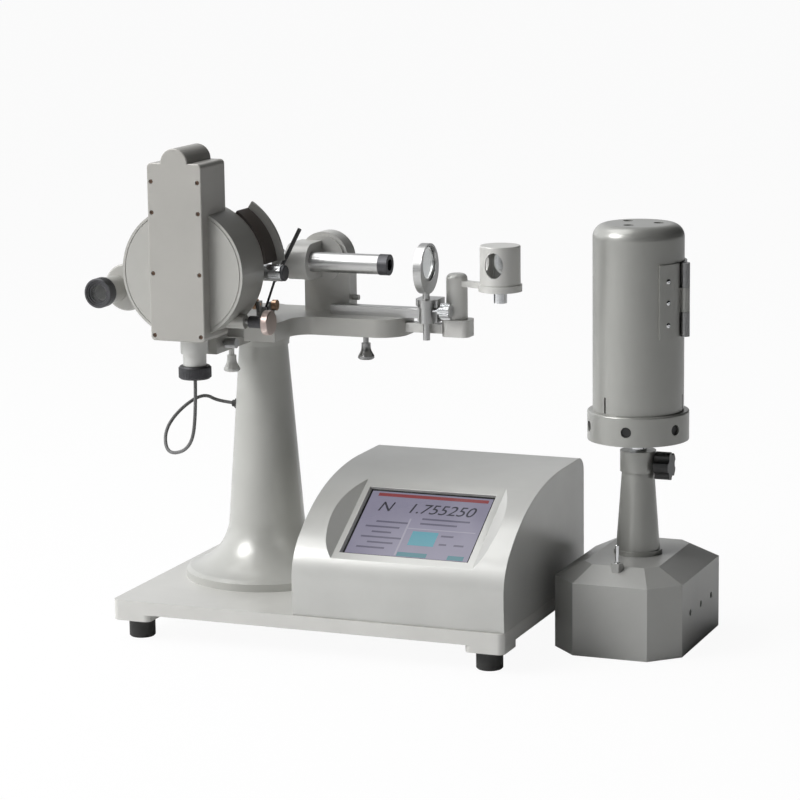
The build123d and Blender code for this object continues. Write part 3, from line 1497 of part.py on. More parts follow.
star_left = star_x - star_thickness / 2
star_neck_left = lamp_x + post_collar_radius + 1
star_tip = lamp_x + stem_radius + free_gap
with BuildPart() as lamp_star_knob:
    with BuildSketch(side_plane(star_left, lamp_y, star_z)):
        lobed_grip(star_radius, 5, 4.5)
    extrude(amount=star_thickness)
    with BuildSketch(side_plane(star_neck_left, lamp_y, star_z)):
        Circle(star_neck_radius)
    extrude(amount=star_left - star_neck_left)
    with BuildSketch(side_plane(star_tip, lamp_y, star_z)):
        Circle(screw_rod_radius)
    extrude(amount=star_neck_left - star_tip)
lamp_star_knob.part.label = "lamp_star_knob"
export_step(lamp_star_knob.part, "parts/lamp_star_knob.step")

# Lamp head: a collar with vent holes, the bulb and the tall housing with its hinge leaf
lamp_collar_top = lamp_collar_bottom + lamp_collar_height
head_floor = lamp_collar_bottom + lamp_collar_wall
with BuildPart() as lamp_collar:
    with BuildSketch(Plane((lamp_x, lamp_y, lamp_collar_bottom))):
        Circle(lamp_collar_radius)
    extrude(amount=lamp_collar_height)
    fillet(lamp_collar.edges().filter_by(GeomType.CIRCLE).group_by(Axis.Z)[-1], 1.5)
    with BuildSketch(Plane((lamp_x, lamp_y, head_floor))):
        Circle(housing_radius + seat_play)
    extrude(amount=lamp_collar_height, mode=Mode.SUBTRACT)
    with BuildSketch(Plane((lamp_x, lamp_y, lamp_collar_bottom))):
        Circle(stem_spigot_radius + running_play)
    extrude(amount=lamp_collar_wall, mode=Mode.SUBTRACT)
    for hole in range(6):
        azimuth = math.radians(60 * hole + collar_hole_turn - 90)
        outwards = (math.cos(azimuth), math.sin(azimuth), 0)
        hole_plane = Plane(
            origin=(lamp_x, lamp_y, lamp_collar_bottom + lamp_collar_height / 2),
            x_dir=(0, 0, 1),
            z_dir=outwards,
        )
        with BuildSketch(hole_plane.offset(housing_radius - 2)):
            Circle(collar_hole_radius)
        extrude(amount=lamp_collar_wall + 5, mode=Mode.SUBTRACT)
lamp_collar.part.label = "lamp_collar"
export_step(lamp_collar.part, "parts/lamp_collar.step")

hinge_turn = math.radians(hinge_angle)
hinge_x = lamp_x + hinge_distance * math.cos(hinge_turn)
hinge_y = lamp_y + hinge_distance * math.sin(hinge_turn)
knuckle_share = (door_top - door_bottom) / 3
with BuildPart() as lamp_housing:
    with BuildSketch(Plane((lamp_x, lamp_y, head_floor))):
        Circle(housing_radius)
    extrude(amount=housing_top - head_floor)
    fillet(lamp_housing.edges().filter_by(GeomType.CIRCLE).group_by(Axis.Z)[-1], housing_rounding)
    with BuildSketch(Plane((lamp_x, lamp_y, door_bottom))):
        sector(housing_radius - 1, housing_radius + leaf_thickness, leaf_from, leaf_to)
    extrude(amount=door_top - door_bottom)
    with BuildSketch(Plane((hinge_x, hinge_y, door_bottom + knuckle_share + free_gap))):
        Circle(knuckle_radius)
    extrude(amount=knuckle_share - 2 * free_gap)
    with BuildSketch(Plane((lamp_x, lamp_y, door_bottom + knuckle_share + free_gap))):
        sector(housing_radius - 1, housing_radius + leaf_thickness, leaf_to - 1, hinge_angle)
    extrude(amount=knuckle_share - 2 * free_gap)
    with BuildSketch(Plane((hinge_x, hinge_y, door_bottom + 1))):
        Circle(hinge_pin_radius)
    extrude(amount=door_top - door_bottom - 2)
    with BuildSketch(Plane((lamp_x, lamp_y, head_floor))):
        Circle(housing_radius - housing_wall)
    extrude(amount=housing_top - housing_rounding - head_floor, mode=Mode.SUBTRACT)
    with BuildSketch(Plane((lamp_x, lamp_y, head_floor))):
        Circle(housing_radius - housing_wall - housing_rounding / 2)
    extrude(amount=housing_top - 2 * housing_wall - head_floor, mode=Mode.SUBTRACT)
    with BuildSketch(Plane((lamp_x, lamp_y, window_bottom))):
        sector(housing_radius - housing_wall - 2, housing_radius + 1, window_from, window_to)
    extrude(amount=window_top - window_bottom, mode=Mode.SUBTRACT)
    with BuildSketch(Plane((lamp_x, lamp_y, lamp_collar_top + 1))):
        for azimuth in slot_azimuths:
            with PolarLocations(housing_radius, 1, start_angle=azimuth):
                Rectangle(3 * housing_wall, slot_width)
    extrude(amount=slot_height, mode=Mode.SUBTRACT)
    with BuildSketch(Plane((lamp_x, lamp_y, housing_top))):
        with PolarLocations(vent_circle, 3, start_angle=vent_turn):
            Circle(vent_radius)
    extrude(amount=-4 * housing_wall, mode=Mode.SUBTRACT)
lamp_housing.part.label = "lamp_housing"
export_step(lamp_housing.part, "parts/lamp_housing.step")

with BuildPart() as lamp_bulb:
    with BuildSketch(front_plane(lamp_y, lamp_x, head_floor)):
        with BuildLine():
            Polyline(
                (0, 0),
                (bulb_cap_radius, 0),
                (bulb_cap_radius, bulb_cap_height),
                (bulb_neck_radius, bulb_neck_low),
                (bulb_neck_radius, bulb_neck_high),
            )
            glass = Spline(
                (bulb_neck_radius, bulb_neck_high),
                (bulb_radius, bulb_wide_low),
                (bulb_radius, bulb_wide_high),
                bulb_tip,
                tangents=((0.6, 1), (-0.7, 0.7)),
            )
            Polyline(glass @ 1, (0, bulb_top), (0, 0))
        make_face()
    revolve(axis=upright_axis(lamp_x, lamp_y))
lamp_bulb.part.label = "lamp_bulb"
export_step(lamp_bulb.part, "parts/lamp_bulb.step")

# Lamp door: a curved plate on two knuckles that turns on the leaf's pin
with BuildPart() as lamp_door:
    with BuildSketch(Plane((lamp_x, lamp_y, door_bottom))):
        sector(housing_radius + free_gap, housing_radius + free_gap + leaf_thickness, door_from, door_to)
    extrude(amount=door_top - door_bottom)
    for knuckle_bottom in (door_bottom, door_top - knuckle_share):
        with BuildSketch(Plane((lamp_x, lamp_y, knuckle_bottom))):
            sector(housing_radius + free_gap, housing_radius + free_gap + leaf_thickness, hinge_angle, door_from + 1)
        extrude(amount=knuckle_share)
        with BuildSketch(Plane((hinge_x, hinge_y, knuckle_bottom))):
            Circle(knuckle_radius)
        extrude(amount=knuckle_share)
        with BuildSketch(Plane((hinge_x, hinge_y, knuckle_bottom))):
            Circle(hinge_pin_radius + running_play)
        extrude(amount=knuckle_share, mode=Mode.SUBTRACT)
lamp_door.part.label = "lamp_door"
export_step(lamp_door.part, "parts/lamp_door.step")
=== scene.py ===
# %% [markdown]
# # V-prism refractometer with its spectral lamp
#
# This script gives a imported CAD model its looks. The CAD model is right in size and place, so
# its castings stay and only get a finish. Where the eye looks closely, at knurls, screws, the
# console's curved shell and its screen, finer pieces take the place of plain CAD ones.
# Lengths in the cells are in millimetres, in the CAD model's frame: +X runs along the optical
# axis to the lamp, +Y to the back, +Z up.

# %% Load the frame
import bpy
import bmesh
import math
from mathutils import Matrix, Vector
from mathutils.geometry import interpolate_bezier


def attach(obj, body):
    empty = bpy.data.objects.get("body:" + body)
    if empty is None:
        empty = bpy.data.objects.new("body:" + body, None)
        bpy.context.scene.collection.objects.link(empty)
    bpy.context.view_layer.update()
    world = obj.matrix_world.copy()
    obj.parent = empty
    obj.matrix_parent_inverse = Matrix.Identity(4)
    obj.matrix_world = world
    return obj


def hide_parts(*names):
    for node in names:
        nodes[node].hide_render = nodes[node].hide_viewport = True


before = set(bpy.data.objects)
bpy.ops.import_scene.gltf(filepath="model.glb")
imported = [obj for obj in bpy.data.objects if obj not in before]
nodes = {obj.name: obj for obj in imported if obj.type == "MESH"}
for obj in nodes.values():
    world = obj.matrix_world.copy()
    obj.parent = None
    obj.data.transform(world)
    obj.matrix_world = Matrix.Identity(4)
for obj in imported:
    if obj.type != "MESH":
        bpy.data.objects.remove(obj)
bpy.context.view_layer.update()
scene = bpy.context.scene
print("CAD nodes:", len(nodes))

# %% [markdown]
# ## Putting a piece on its body
#
# Every new piece belongs to one moving body of the instrument, as a knob belongs to its screw.
# Its object could carry a place and a turn, but then a pattern on Object coordinates would slide
# when the part is exported. So the place goes into the mesh, and the object stays at the origin
# and rides on its body. Where the piece stands for a CAD node, that node is named as replaced.

# %% Units and placing
MM = 0.001
TINY = 1e-6


def add_object(name, mesh, material, body, replaced=()):
    piece = bpy.data.objects.new(name, mesh)
    scene.collection.objects.link(piece)
    if material is not None:
        mesh.materials.append(material)
    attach(piece, body)
    if replaced:
        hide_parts(*replaced)
    print(name, "rides on", body, "with", len(mesh.polygons), "faces")
    return piece


print("one millimetre is", MM, "units")

# %% [markdown]
# ## Smooth faces and crisp edges
#
# A turned knob looks round when its faces share their shading, and its rim looks machined when
# the shading breaks there. A smoothing modifier would also do that, but marking the edges that
# turn sharply keeps the mesh as it is. Before that, double points are merged and the normals are
# made to point outwards, because spinning a profile can leave both behind.

# %% Finishing a mesh
CRISP_ANGLE = 35


def soft_edges(mesh, angle=CRISP_ANGLE):
    """Smooth shading, with every edge that turns more than the angle kept sharp."""
    for polygon in mesh.polygons:
        polygon.use_smooth = True
    mesh.set_sharp_from_angle(angle=math.radians(angle))


def tidy_normals(bm):
    bmesh.ops.remove_doubles(bm, verts=bm.verts, dist=TINY)
    bmesh.ops.recalc_face_normals(bm, faces=bm.faces)


def finish_mesh(bm, name):
    tidy_normals(bm)
    mesh = bpy.data.meshes.new(name)
    bm.to_mesh(mesh)
    bm.free()
    soft_edges(mesh)
    return mesh


print("edges stay crisp from", CRISP_ANGLE, "degrees")

# %% [markdown]
# ## Turned shapes
#
# Knobs, rings and screw heads come off a lathe. Their section is a short chain of points, given
# as distance along the axis and radius, and Blender's spin operator carries it round the axis
# once, as the lathe does. A cylinder with loop cuts would also work, but a section says each
# step and chamfer in one line. For a knurl, the faces of a band are inset one by one and raised,
# which is what a knurling wheel leaves: a rib between two cuts.

# %% Turned shapes
UPRIGHT_LIMIT = 0.9
BAND_TILT = 0.3
CUT_SHARE = 0.22


def lathe_axes(axis):
    """The axis as a unit vector, and a unit vector square to it."""
    axis = Vector(axis).normalized()
    side = Vector((0, 0, 1)) if abs(axis.z) < UPRIGHT_LIMIT else Vector((1, 0, 0))
    return axis, side.cross(axis).normalized()


def raise_ribs(bm, centre, axis, low, high, height):
    """Raise every face of the band between two distances along the axis."""
    band = [
        face
        for face in bm.faces
        if low < (face.calc_center_median() - centre).dot(axis) / MM < high
        and abs(face.normal.dot(axis)) < BAND_TILT
    ]
    width = min(edge.calc_length() for edge in band[0].edges)
    bmesh.ops.inset_individual(bm, faces=band, thickness=width * CUT_SHARE, depth=height * MM)


def spun(name, profile, centre, axis, segments, ribs=None):
    """Mesh of a section of (distance along the axis, radius) pairs, spun about the axis.

    ribs is (from, to, height): between those distances each face stands out as a rib.
    """
    axis, side = lathe_axes(axis)
    centre = Vector(centre) * MM
    bm = bmesh.new()
    points = [bm.verts.new(centre + (axis * along + side * radius) * MM) for along, radius in profile]
    edges = [bm.edges.new(pair) for pair in zip(points, points[1:])]
    full_turn = 2 * math.pi
    bmesh.ops.spin(
        bm,
        geom=points + edges,
        cent=centre,
        axis=axis,
        angle=full_turn,
        steps=segments,
        use_merge=True,
    )
    tidy_normals(bm)
    if ribs:
        raise_ribs(bm, centre, axis, *ribs)
    return finish_mesh(bm, name)


print("a rib's cuts take", CUT_SHARE, "of its width on each side")

# %% [markdown]
# ## Flat shapes
#
# Glass, screen tiles and the console's block are flat shapes with a thickness. One face is drawn
# from its corners, extruded, and its edges may get a small bevel, as real ones are never
# perfectly sharp and a bevel catches the light. A scaled cube would do for the tiles, but not for
# the console's side view, and one helper for both is easier to follow.

# %% Flat shapes
BEVEL_FROM = 30
BEVEL_SEGMENTS = 2


def extruded(name, outline, origin, x_dir, y_dir, depth, bevel=0.0):
    """Mesh of an outline on the plane of x_dir and y_dir, extruded along their cross product."""
    x_dir, y_dir = Vector(x_dir).normalized(), Vector(y_dir).normalized()
    origin = Vector(origin) * MM
    bm = bmesh.new()
    face = bm.faces.new([bm.verts.new(origin + (x_dir * x + y_dir * y) * MM) for x, y in outline])
    top = bmesh.ops.extrude_face_region(bm, geom=[face])
    moved = [part for part in top["geom"] if isinstance(part, bmesh.types.BMVert)]
    bmesh.ops.translate(bm, verts=moved, vec=x_dir.cross(y_dir) * depth * MM)
    bm.normal_update()
    if bevel:
        sharp = [edge for edge in bm.edges if edge.calc_face_angle(0) > math.radians(BEVEL_FROM)]
        bmesh.ops.bevel(
            bm,
            geom=sharp,
            offset=bevel * MM,
            segments=BEVEL_SEGMENTS,
            affect="EDGES",
            profile=0.5,
            material=-1,
        )
    return finish_mesh(bm, name)


print("flat shapes are bevelled where faces turn more than", BEVEL_FROM, "degrees")

# %% [markdown]
# ## Several shapes as one piece
#
# Eight equal screws, or a knob with its rod and cap, are one thing to the reader of the scene.
# They could be parented objects, but one mesh exports more simply. Each shape may keep a
# material slot of its own, or all may share the first.

# %% Joining shapes
def joined(name, meshes, one_finish=False):
    """One mesh out of several, each with the slot of its place in the list, or all with one."""
    bm = bmesh.new()
    for index, mesh in enumerate(meshes):
        start = len(bm.faces)
        bm.from_mesh(mesh)
        bm.faces.ensure_lookup_table()
        for face in bm.faces[start:]:
            face.material_index = 0 if one_finish else index
    mesh = bpy.data.meshes.new(name)
    bm.to_mesh(mesh)
    bm.free()
    soft_edges(mesh)
    return mesh


print("helpers ready")

# %% [markdown]
# ## Building blocks for finishes
#
# No real surface has one flat colour. A finish here is Blender's Principled shader with a little
# noise in its colour, its gloss and its relief. The noise reads Object coordinates, so that it
# stays fixed to the piece when a body moves, and it needs no unwrapped texture. A stretched
# noise gives brush marks, a round one gives mottle or grain.

# %% Noise and what it drives
def new_material(name):
    material = bpy.data.materials.new(name)
    material.use_nodes = True
    tree = material.node_tree
    return material, tree, tree.nodes["Principled BSDF"]


def noise(tree, scale, detail=3.0, stretch=(1, 1, 1), offset=(0, 0, 0)):
    """A noise fixed to the piece: scale is its fineness, stretch squeezes it along an axis."""
    where = tree.nodes.new("ShaderNodeTexCoord")
    place = tree.nodes.new("ShaderNodeMapping")
    place.inputs["Scale"].default_value = stretch
    place.inputs["Location"].default_value = offset
    texture = tree.nodes.new("ShaderNodeTexNoise")
    texture.inputs["Scale"].default_value = scale
    texture.inputs["Detail"].default_value = detail
    tree.links.new(where.outputs["Object"], place.inputs["Vector"])
    tree.links.new(place.outputs["Vector"], texture.inputs["Vector"])
    return texture


def ramp(tree, source, low, high, start=0.35, end=0.65):
    """Two colours, blended by a noise."""
    node = tree.nodes.new("ShaderNodeValToRGB")
    node.color_ramp.elements[0].position = start
    node.color_ramp.elements[1].position = end
    node.color_ramp.elements[0].color = (*low, 1)
    node.color_ramp.elements[1].color = (*high, 1)
    tree.links.new(source, node.inputs["Fac"])
    return node


def span(tree, source, low, high):
    """A value that a noise moves between two limits."""
    node = tree.nodes.new("ShaderNodeMapRange")
    node.inputs["To Min"].default_value = low
    node.inputs["To Max"].default_value = high
    tree.links.new(source, node.inputs["Value"])
    return node


def bump(tree, shader, source, strength, distance):
    """Fine relief on the surface, from a noise."""
    node = tree.nodes.new("ShaderNodeBump")
    node.inputs["Strength"].default_value = strength
    node.inputs["Distance"].default_value = distance
    tree.links.new(source, node.inputs["Height"])
    tree.links.new(node.outputs["Normal"], shader.inputs["Normal"])


print("noise blocks ready")

# %% [markdown]
# ## Stove enamel
#
# The castings, sheet-metal boxes and the lamp wear a warm silver-grey enamel, with the fine orange
# peel that sprayed enamel has. A car-paint shader could give the metal flakes in it, but at this
# size they melt into a slight sheen, so a little of the Metallic setting and a clear coat
# do the same with less. A slow noise makes the gloss uneven, as handling and dust do.

# %% Stove enamel
PEEL_FINENESS, PEEL_HEIGHT = 1400, 0.00012


def shades(color, darker, lighter):
    """A darker and a lighter shade of a colour."""
    return [c * darker for c in color], [min(1, c * lighter) for c in color]


def paint(name, color, rough=0.36, metallic=0.25, grain=0.08, coat=0.25):
    material, tree, shader = new_material(name)
    mottle = noise(tree, 22, 4)
    shade = ramp(tree, mottle.outputs["Fac"], *shades(color, 0.965, 1.03), 0.3, 0.7)
    tree.links.new(shade.outputs["Color"], shader.inputs["Base Color"])
    peel = noise(tree, PEEL_FINENESS, 2)
    bump(tree, shader, peel.outputs["Fac"], grain, PEEL_HEIGHT)
    wear = noise(tree, 60, 5, offset=(3, 1, 2))
    gloss = span(tree, wear.outputs["Fac"], rough - 0.05, rough + 0.06)
    tree.links.new(gloss.outputs["Result"], shader.inputs["Roughness"])
    shader.inputs["Metallic"].default_value = metallic
    shader.inputs["Coat Weight"].default_value = coat
    shader.inputs["Coat Roughness"].default_value = 0.22
    return material


PAINT_COAT = 0.4
paint_grey = paint("paint_grey", (0.43, 0.425, 0.40))
paint_box = paint("paint_box", (0.40, 0.39, 0.365), rough=0.42)
paint_column = paint("paint_column", (0.45, 0.45, 0.425), rough=0.3, metallic=0.15, coat=PAINT_COAT)
paint_base = paint("paint_base", (0.60, 0.595, 0.57), rough=0.34, metallic=0.15)
paint_console = paint("paint_console", (0.53, 0.53, 0.51), rough=0.32, metallic=0.25)
paint_light = paint("paint_light", (0.56, 0.56, 0.54), rough=0.32)
paint_lamp = paint("paint_lamp", (0.36, 0.36, 0.34), rough=0.3, metallic=0.45)
paint_lamp_base = paint(
    "paint_lamp_base", (0.40, 0.40, 0.385), rough=0.38, metallic=0.2, grain=0.03, coat=0.2
)
brown_inside = paint("brown_inside", (0.075, 0.062, 0.055), rough=0.5, metallic=0.0, coat=0.0)
print("enamels:", sum("paint" in material.name for material in bpy.data.materials))

# %% [markdown]
# ## Bare and plated metal
#
# Knobs, rods, the rail and the collimator's tube are metal without paint. Metal looks like metal
# through what it mirrors, so its colour is set on a fully metallic shader. Its marks are the rest:
# lengthwise brush lines on the drawn bar, tiny even marks on turned and plated parts. An
# anisotropic shader could stretch the highlight too, but the marks already do at this size.

# %% Metals
EVEN = (1, 1, 1)
ALONG_X = (1, 40, 40)
MARK_HEIGHT = 0.00005


def metal(name, color, rough, stretch, scale, grain=0.05):
    material, tree, shader = new_material(name)
    marks = noise(tree, scale, 3, stretch)
    shade = ramp(tree, marks.outputs["Fac"], *shades(color, 0.9, 1.06))
    tree.links.new(shade.outputs["Color"], shader.inputs["Base Color"])
    gloss = span(tree, marks.outputs["Fac"], rough * 0.75, rough * 1.3)
    tree.links.new(gloss.outputs["Result"], shader.inputs["Roughness"])
    bump(tree, shader, marks.outputs["Fac"], grain, MARK_HEIGHT)
    shader.inputs["Metallic"].default_value = 1.0
    return material


dark_knurl = metal("dark_knurl", (0.10, 0.10, 0.105), 0.42, EVEN, 300)
chrome = metal("chrome", (0.72, 0.73, 0.74), 0.14, EVEN, 240, grain=0.02)
brushed = metal("brushed", (0.52, 0.52, 0.515), 0.3, ALONG_X, 50)
screw_metal = metal("screw_metal", (0.30, 0.30, 0.30), 0.35, EVEN, 600)
copper_metal = metal("copper_metal", (0.62, 0.40, 0.28), 0.24, EVEN, 500)
rose_metal = metal("rose_metal", (0.50, 0.42, 0.39), 0.32, EVEN, 90, grain=0.01)
screw_brown = metal("screw_brown", (0.16, 0.11, 0.085), 0.35, EVEN, 600)
bell_metal = metal("bell_metal", (0.34, 0.34, 0.34), 0.3, EVEN, 300)
print("brushed metal is stretched", ALONG_X)

# %% [markdown]
# ## Rubber and moulded plastic
#
# The feet are rubber, the star knob, the lead's skin and the screen's glass border are plastic.
# They differ in colour and gloss only, so one recipe serves: a dark base with patches of dust from a
# noise, and a fine moulded grain.

# %% Rubber and plastic
GRAIN_HEIGHT = 0.0001


def moulded(name, color, rough, scale=900, grain=0.15, specular=0.4):
    material, tree, shader = new_material(name)
    dust = noise(tree, 45, 4)
    dusty = [min(1, c * 1.5 + 0.006) for c in color]
    shade = ramp(tree, dust.outputs["Fac"], color, dusty, 0.35, 0.8)
    tree.links.new(shade.outputs["Color"], shader.inputs["Base Color"])
    pits = noise(tree, scale, 2)
    bump(tree, shader, pits.outputs["Fac"], grain, GRAIN_HEIGHT)
    gloss = span(tree, dust.outputs["Fac"], rough - 0.06, rough + 0.08)
    tree.links.new(gloss.outputs["Result"], shader.inputs["Roughness"])
    shader.inputs["Specular IOR Level"].default_value = specular
    return material


rubber = moulded("rubber", (0.028, 0.028, 0.027), 0.62)
# This black finish also serves as painted shade: the black discs in the lamp head's holes.
black_plastic = moulded("black_plastic", (0.012, 0.012, 0.012), 0.34, specular=0.5)
cable_skin = moulded("cable_skin", (0.10, 0.10, 0.10), 0.42, scale=1600)
screen_black = moulded("screen_black", (0.006, 0.006, 0.007), 0.14, grain=0.02)
ink = moulded("ink", (0.01, 0.01, 0.02), 0.3)
print("moulded finishes have grain", GRAIN_HEIGHT, "m high")

# %% [markdown]
# ## Optical glass
#
# Lenses and prisms are clear, and what tells them from air is how they bend what is behind them.
# The Principled shader's transmission does that with the glass's refractive index. A faint smear
# in the polish keeps them from looking like a drawing.

# %% Glass
GLASS_INDEX = 1.5


def clear(name, color, rough=0.03):
    material, tree, shader = new_material(name)
    smear = noise(tree, 70, 4)
    gloss = span(tree, smear.outputs["Fac"], rough, rough + 0.05)
    tree.links.new(gloss.outputs["Result"], shader.inputs["Roughness"])
    tint = ramp(tree, smear.outputs["Fac"], [c * 0.97 for c in color], color)
    tree.links.new(tint.outputs["Color"], shader.inputs["Base Color"])
    shader.inputs["Transmission Weight"].default_value = 1.0
    shader.inputs["IOR"].default_value = GLASS_INDEX
    return material


optic_glass = clear("optic_glass", (0.97, 0.99, 0.98))
bulb_glass = clear("bulb_glass", (1.0, 0.97, 0.92), rough=0.06)
print("materials:", len(bpy.data.materials))

# %% [markdown]
# ## Finishing the CAD pieces that stay
#
# Castings and boxes keep their CAD mesh, because its shape is the real one. A CAD edge is
# perfectly sharp, though, and a real one is broken by a file or by paint, so a Bevel modifier
# rounds it by half a millimetre or so. Its mesh is made of triangles, so a planar Decimate goes
# first, and the bevel then finds true edges only. Round pieces need no bevel: theirs are in CAD.

# %% Dressing a node
FLAT_WITHIN = 1.5
EDGE_FROM = 32


def dress(node, material, bevel):
    piece = nodes[node]
    mesh = piece.data
    mesh.materials.clear()
    mesh.materials.append(material)
    for polygon in mesh.polygons:
        polygon.material_index = 0
    if bevel:
        flat = piece.modifiers.new("flat", "DECIMATE")
        flat.decimate_type = "DISSOLVE"
        flat.angle_limit = math.radians(FLAT_WITHIN)
        edge = piece.modifiers.new("edge", "BEVEL")
        edge.width = bevel * MM
        edge.segments = BEVEL_SEGMENTS
        edge.limit_method = "ANGLE"
        edge.angle_limit = math.radians(EDGE_FROM)
        edge.miter_outer = "MITER_ARC"
        edge.harden_normals = True
    soft_edges(mesh, EDGE_FROM)


print("edges over", EDGE_FROM, "degrees are rounded")

# %% [markdown]
# ## Which finish goes where
#
# Each CAD node gets its finish and the width of its rounded edges. Large sheet and cast parts
# have wider ones than small machined parts. The nodes that finer pieces replace later are
# listed too, so each still has its finish if its finer piece is taken out again.

# %% Finishes: stand and head
STAND_FINISHES = {
    "base_tray": (paint_base, 0.9),
    "base_feet": (rubber, 0.5),
    "column": (paint_column, 0),
    "cable_grommet": (rubber, 0),
    "head_casting": (paint_grey, 0.8),
    "drum_housing": (paint_grey, 0.6),
    "encoder_box": (paint_box, 0.6),
    "encoder_cover": (paint_box, 0.5),
    "cover_screws": (screw_metal, 0),
    "main_shaft": (brushed, 0),
    "shaft_bearings": (brushed, 0),
    "encoder_disc": (optic_glass, 0),
    "read_head": (black_plastic, 0.3),
    "connector_body": (paint_light, 0.4),
    "connector_ring": (dark_knurl, 0.3),
    "prism_shade": (brown_inside, 0),
    "circle_clamp_knob": (chrome, 0.3),
    "tangent_screw": (chrome, 0),
    "lock_knob": (paint_light, 0),
    "arm_clamp_knob": (bell_metal, 0),
    "stop_knob": (bell_metal, 0),
}
for node, (material, width) in STAND_FINISHES.items():
    dress(node, material, width)
print("dressed", len(STAND_FINISHES), "nodes")

# %% Finishes: telescope, prism and lever
TELESCOPE_FINISHES = {
    "telescope_carrier": (paint_grey, 0.5),
    "telescope_tube": (paint_grey, 0),
    "objective_lens": (optic_glass, 0),
    "telescope_elbow": (paint_grey, 0),
    "elbow_prism": (optic_glass, 0.2),
    "eyepiece_ring": (dark_knurl, 0.3),
    "eyepiece_lens": (optic_glass, 0),
    "prism_table": (brushed, 0.4),
    "v_prism": (optic_glass, 0.2),
    "lever_bracket": (bell_metal, 0.2),
    "lever_screw_left": (copper_metal, 0),
    "lever_screw_right": (copper_metal, 0),
    "lever_rod": (black_plastic, 0),
}
for node, (material, width) in TELESCOPE_FINISHES.items():
    dress(node, material, width)
print("dressed", len(TELESCOPE_FINISHES), "nodes")

# %% Finishes: bench arm
BENCH_FINISHES = {
    "collimator_bracket": (paint_base, 0.5),
    "collimator_tube": (brushed, 0),
    "slit_ring": (dark_knurl, 0),
    "rail_bar": (brushed, 0),
    "slider_bar": (paint_base, 0.5),
    "lens_holder": (brushed, 0.3),
    "lens_mount": (brushed, 0.4),
    "condenser_lens": (optic_glass, 0),
    "lens_knob": (chrome, 0.4),
    "mirror_post": (paint_base, 0.4),
    "turret_shell": (paint_base, 0.3),
    "turret_mirror": (chrome, 0),
    "turret_nut": (chrome, 0.3),
}
for node, (material, width) in BENCH_FINISHES.items():
    dress(node, material, width)
print("dressed", len(BENCH_FINISHES), "nodes")

# %% Finishes: console and lamp
CONSOLE_AND_LAMP_FINISHES = {
    "console_fascia": (paint_console, 0.6),
    "console_body": (paint_console, 0.3),
    "display_panel": (black_plastic, 0),
    "lamp_base": (paint_lamp_base, 0),
    "lamp_post": (paint_lamp, 0),
    "lamp_toggle": (chrome, 0),
    "lamp_stem": (chrome, 0),
    "lamp_star_knob": (black_plastic, 0.6),
    "lamp_collar": (paint_lamp, 0.5),
    "lamp_housing": (paint_lamp, 0),
    "lamp_bulb": (bulb_glass, 0),
    "lamp_door": (screw_metal, 0.3),
}
for node, (material, width) in CONSOLE_AND_LAMP_FINISHES.items():
    dress(node, material, width)
print("dressed", len(CONSOLE_AND_LAMP_FINISHES), "nodes")

# %% [markdown]
# ## Console: side view
#
# The console's cover is one shell with a short upright front, a soft bend, a long curve up to a
# level top, and a rounded back edge. All of that is in its side view, so I draw the side view and
# extrude it to the console's width. Its two bends are Bezier curves, because four handles follow
# a drawn curve better than a chain of arcs, and the back edge is a plain quarter circle.

# %% Console side view
CONSOLE_LEFT, CONSOLE_RIGHT = -49, 152
CONSOLE_BACK, CONSOLE_LOW, CONSOLE_TOP = 97, 37, 152
BACK_ROUND, BACK_STEPS = 14, 8
FRONT_FOOT, FRONT_KNEE = (-123, CONSOLE_LOW), (-124.5, 58)
FRONT_BEND = ((-124.5, 70), (-124.5, 84), (-117, 96.7), (-106, 106))
LONG_BEND = ((-106, 106), (-80, 128), (-40, 152), (42, CONSOLE_TOP))
FRONT_STEPS, LONG_STEPS = 12, 28


def bend(handles, steps):
    """Points of a Bezier bend, without its last one."""
    corners = [Vector((*point, 0)) for point in handles]
    return [point.xy for point in interpolate_bezier(*corners, steps)][:-1]


def side_view():
    """The shell's outline from its left side, as (y, z) pairs."""
    points = [(CONSOLE_BACK, CONSOLE_LOW), FRONT_FOOT, FRONT_KNEE]
    points += bend(FRONT_BEND, FRONT_STEPS)
    points += bend(LONG_BEND, LONG_STEPS)
    centre_y, centre_z = CONSOLE_BACK - BACK_ROUND, CONSOLE_TOP - BACK_ROUND
    for k in range(BACK_STEPS + 1):
        turn = math.radians(90 - 90 * k / BACK_STEPS)
        points.append((centre_y + BACK_ROUND * math.cos(turn), centre_z + BACK_ROUND * math.sin(turn)))
    return points


console_block = extruded(
    "console_block",
    side_view(),
    (CONSOLE_LEFT, 0, 0),
    (0, 1, 0),
    (0, 0, 1),
    CONSOLE_RIGHT - CONSOLE_LEFT,
)
print("console block:", len(console_block.polygons), "faces")

# %% [markdown]
# ## Console: sunk field and screen opening
#
# The touch screen sits in a flat field that is sunk into the curved shell, so the field's ends
# show as slanted lens-shaped facets. Drawing those facets by hand is hard. Cutting the solid
# block with a flat-bottomed wedge gives them for free, as a mill would, and so a Boolean modifier
# is used here. A second, smaller cut makes the opening that the screen looks out of.
# Places on the slope are given as right, up and out from the field's lower edge.

# %% Cutting blocks
FIELD_ORIGIN = Vector((58.3, -123, 93))
FIELD_RIGHT, FIELD_UP = Vector((1, 0, 0)), Vector((0, 0.857, 0.515))
FIELD_OUT = Vector((0, -0.515, 0.857))
FIELD_DEPTH, SCREEN_DEPTH = -4.1, -7.2
FIELD_LEFT_EDGE, FIELD_RIGHT_EDGE = -71.3, 62.5
FACET_SLANT, CUT_REACH = 1.5, 25
FIELD_FROM, FIELD_TO = -30, 160
OPENING_LEFT, OPENING_RIGHT, OPENING_LOW, OPENING_HIGH = -65.5, 55.8, 11, 97
LEFT_DRAFT, RIGHT_DRAFT, OPENING_CLEAR = 1.2, 0.6, 2


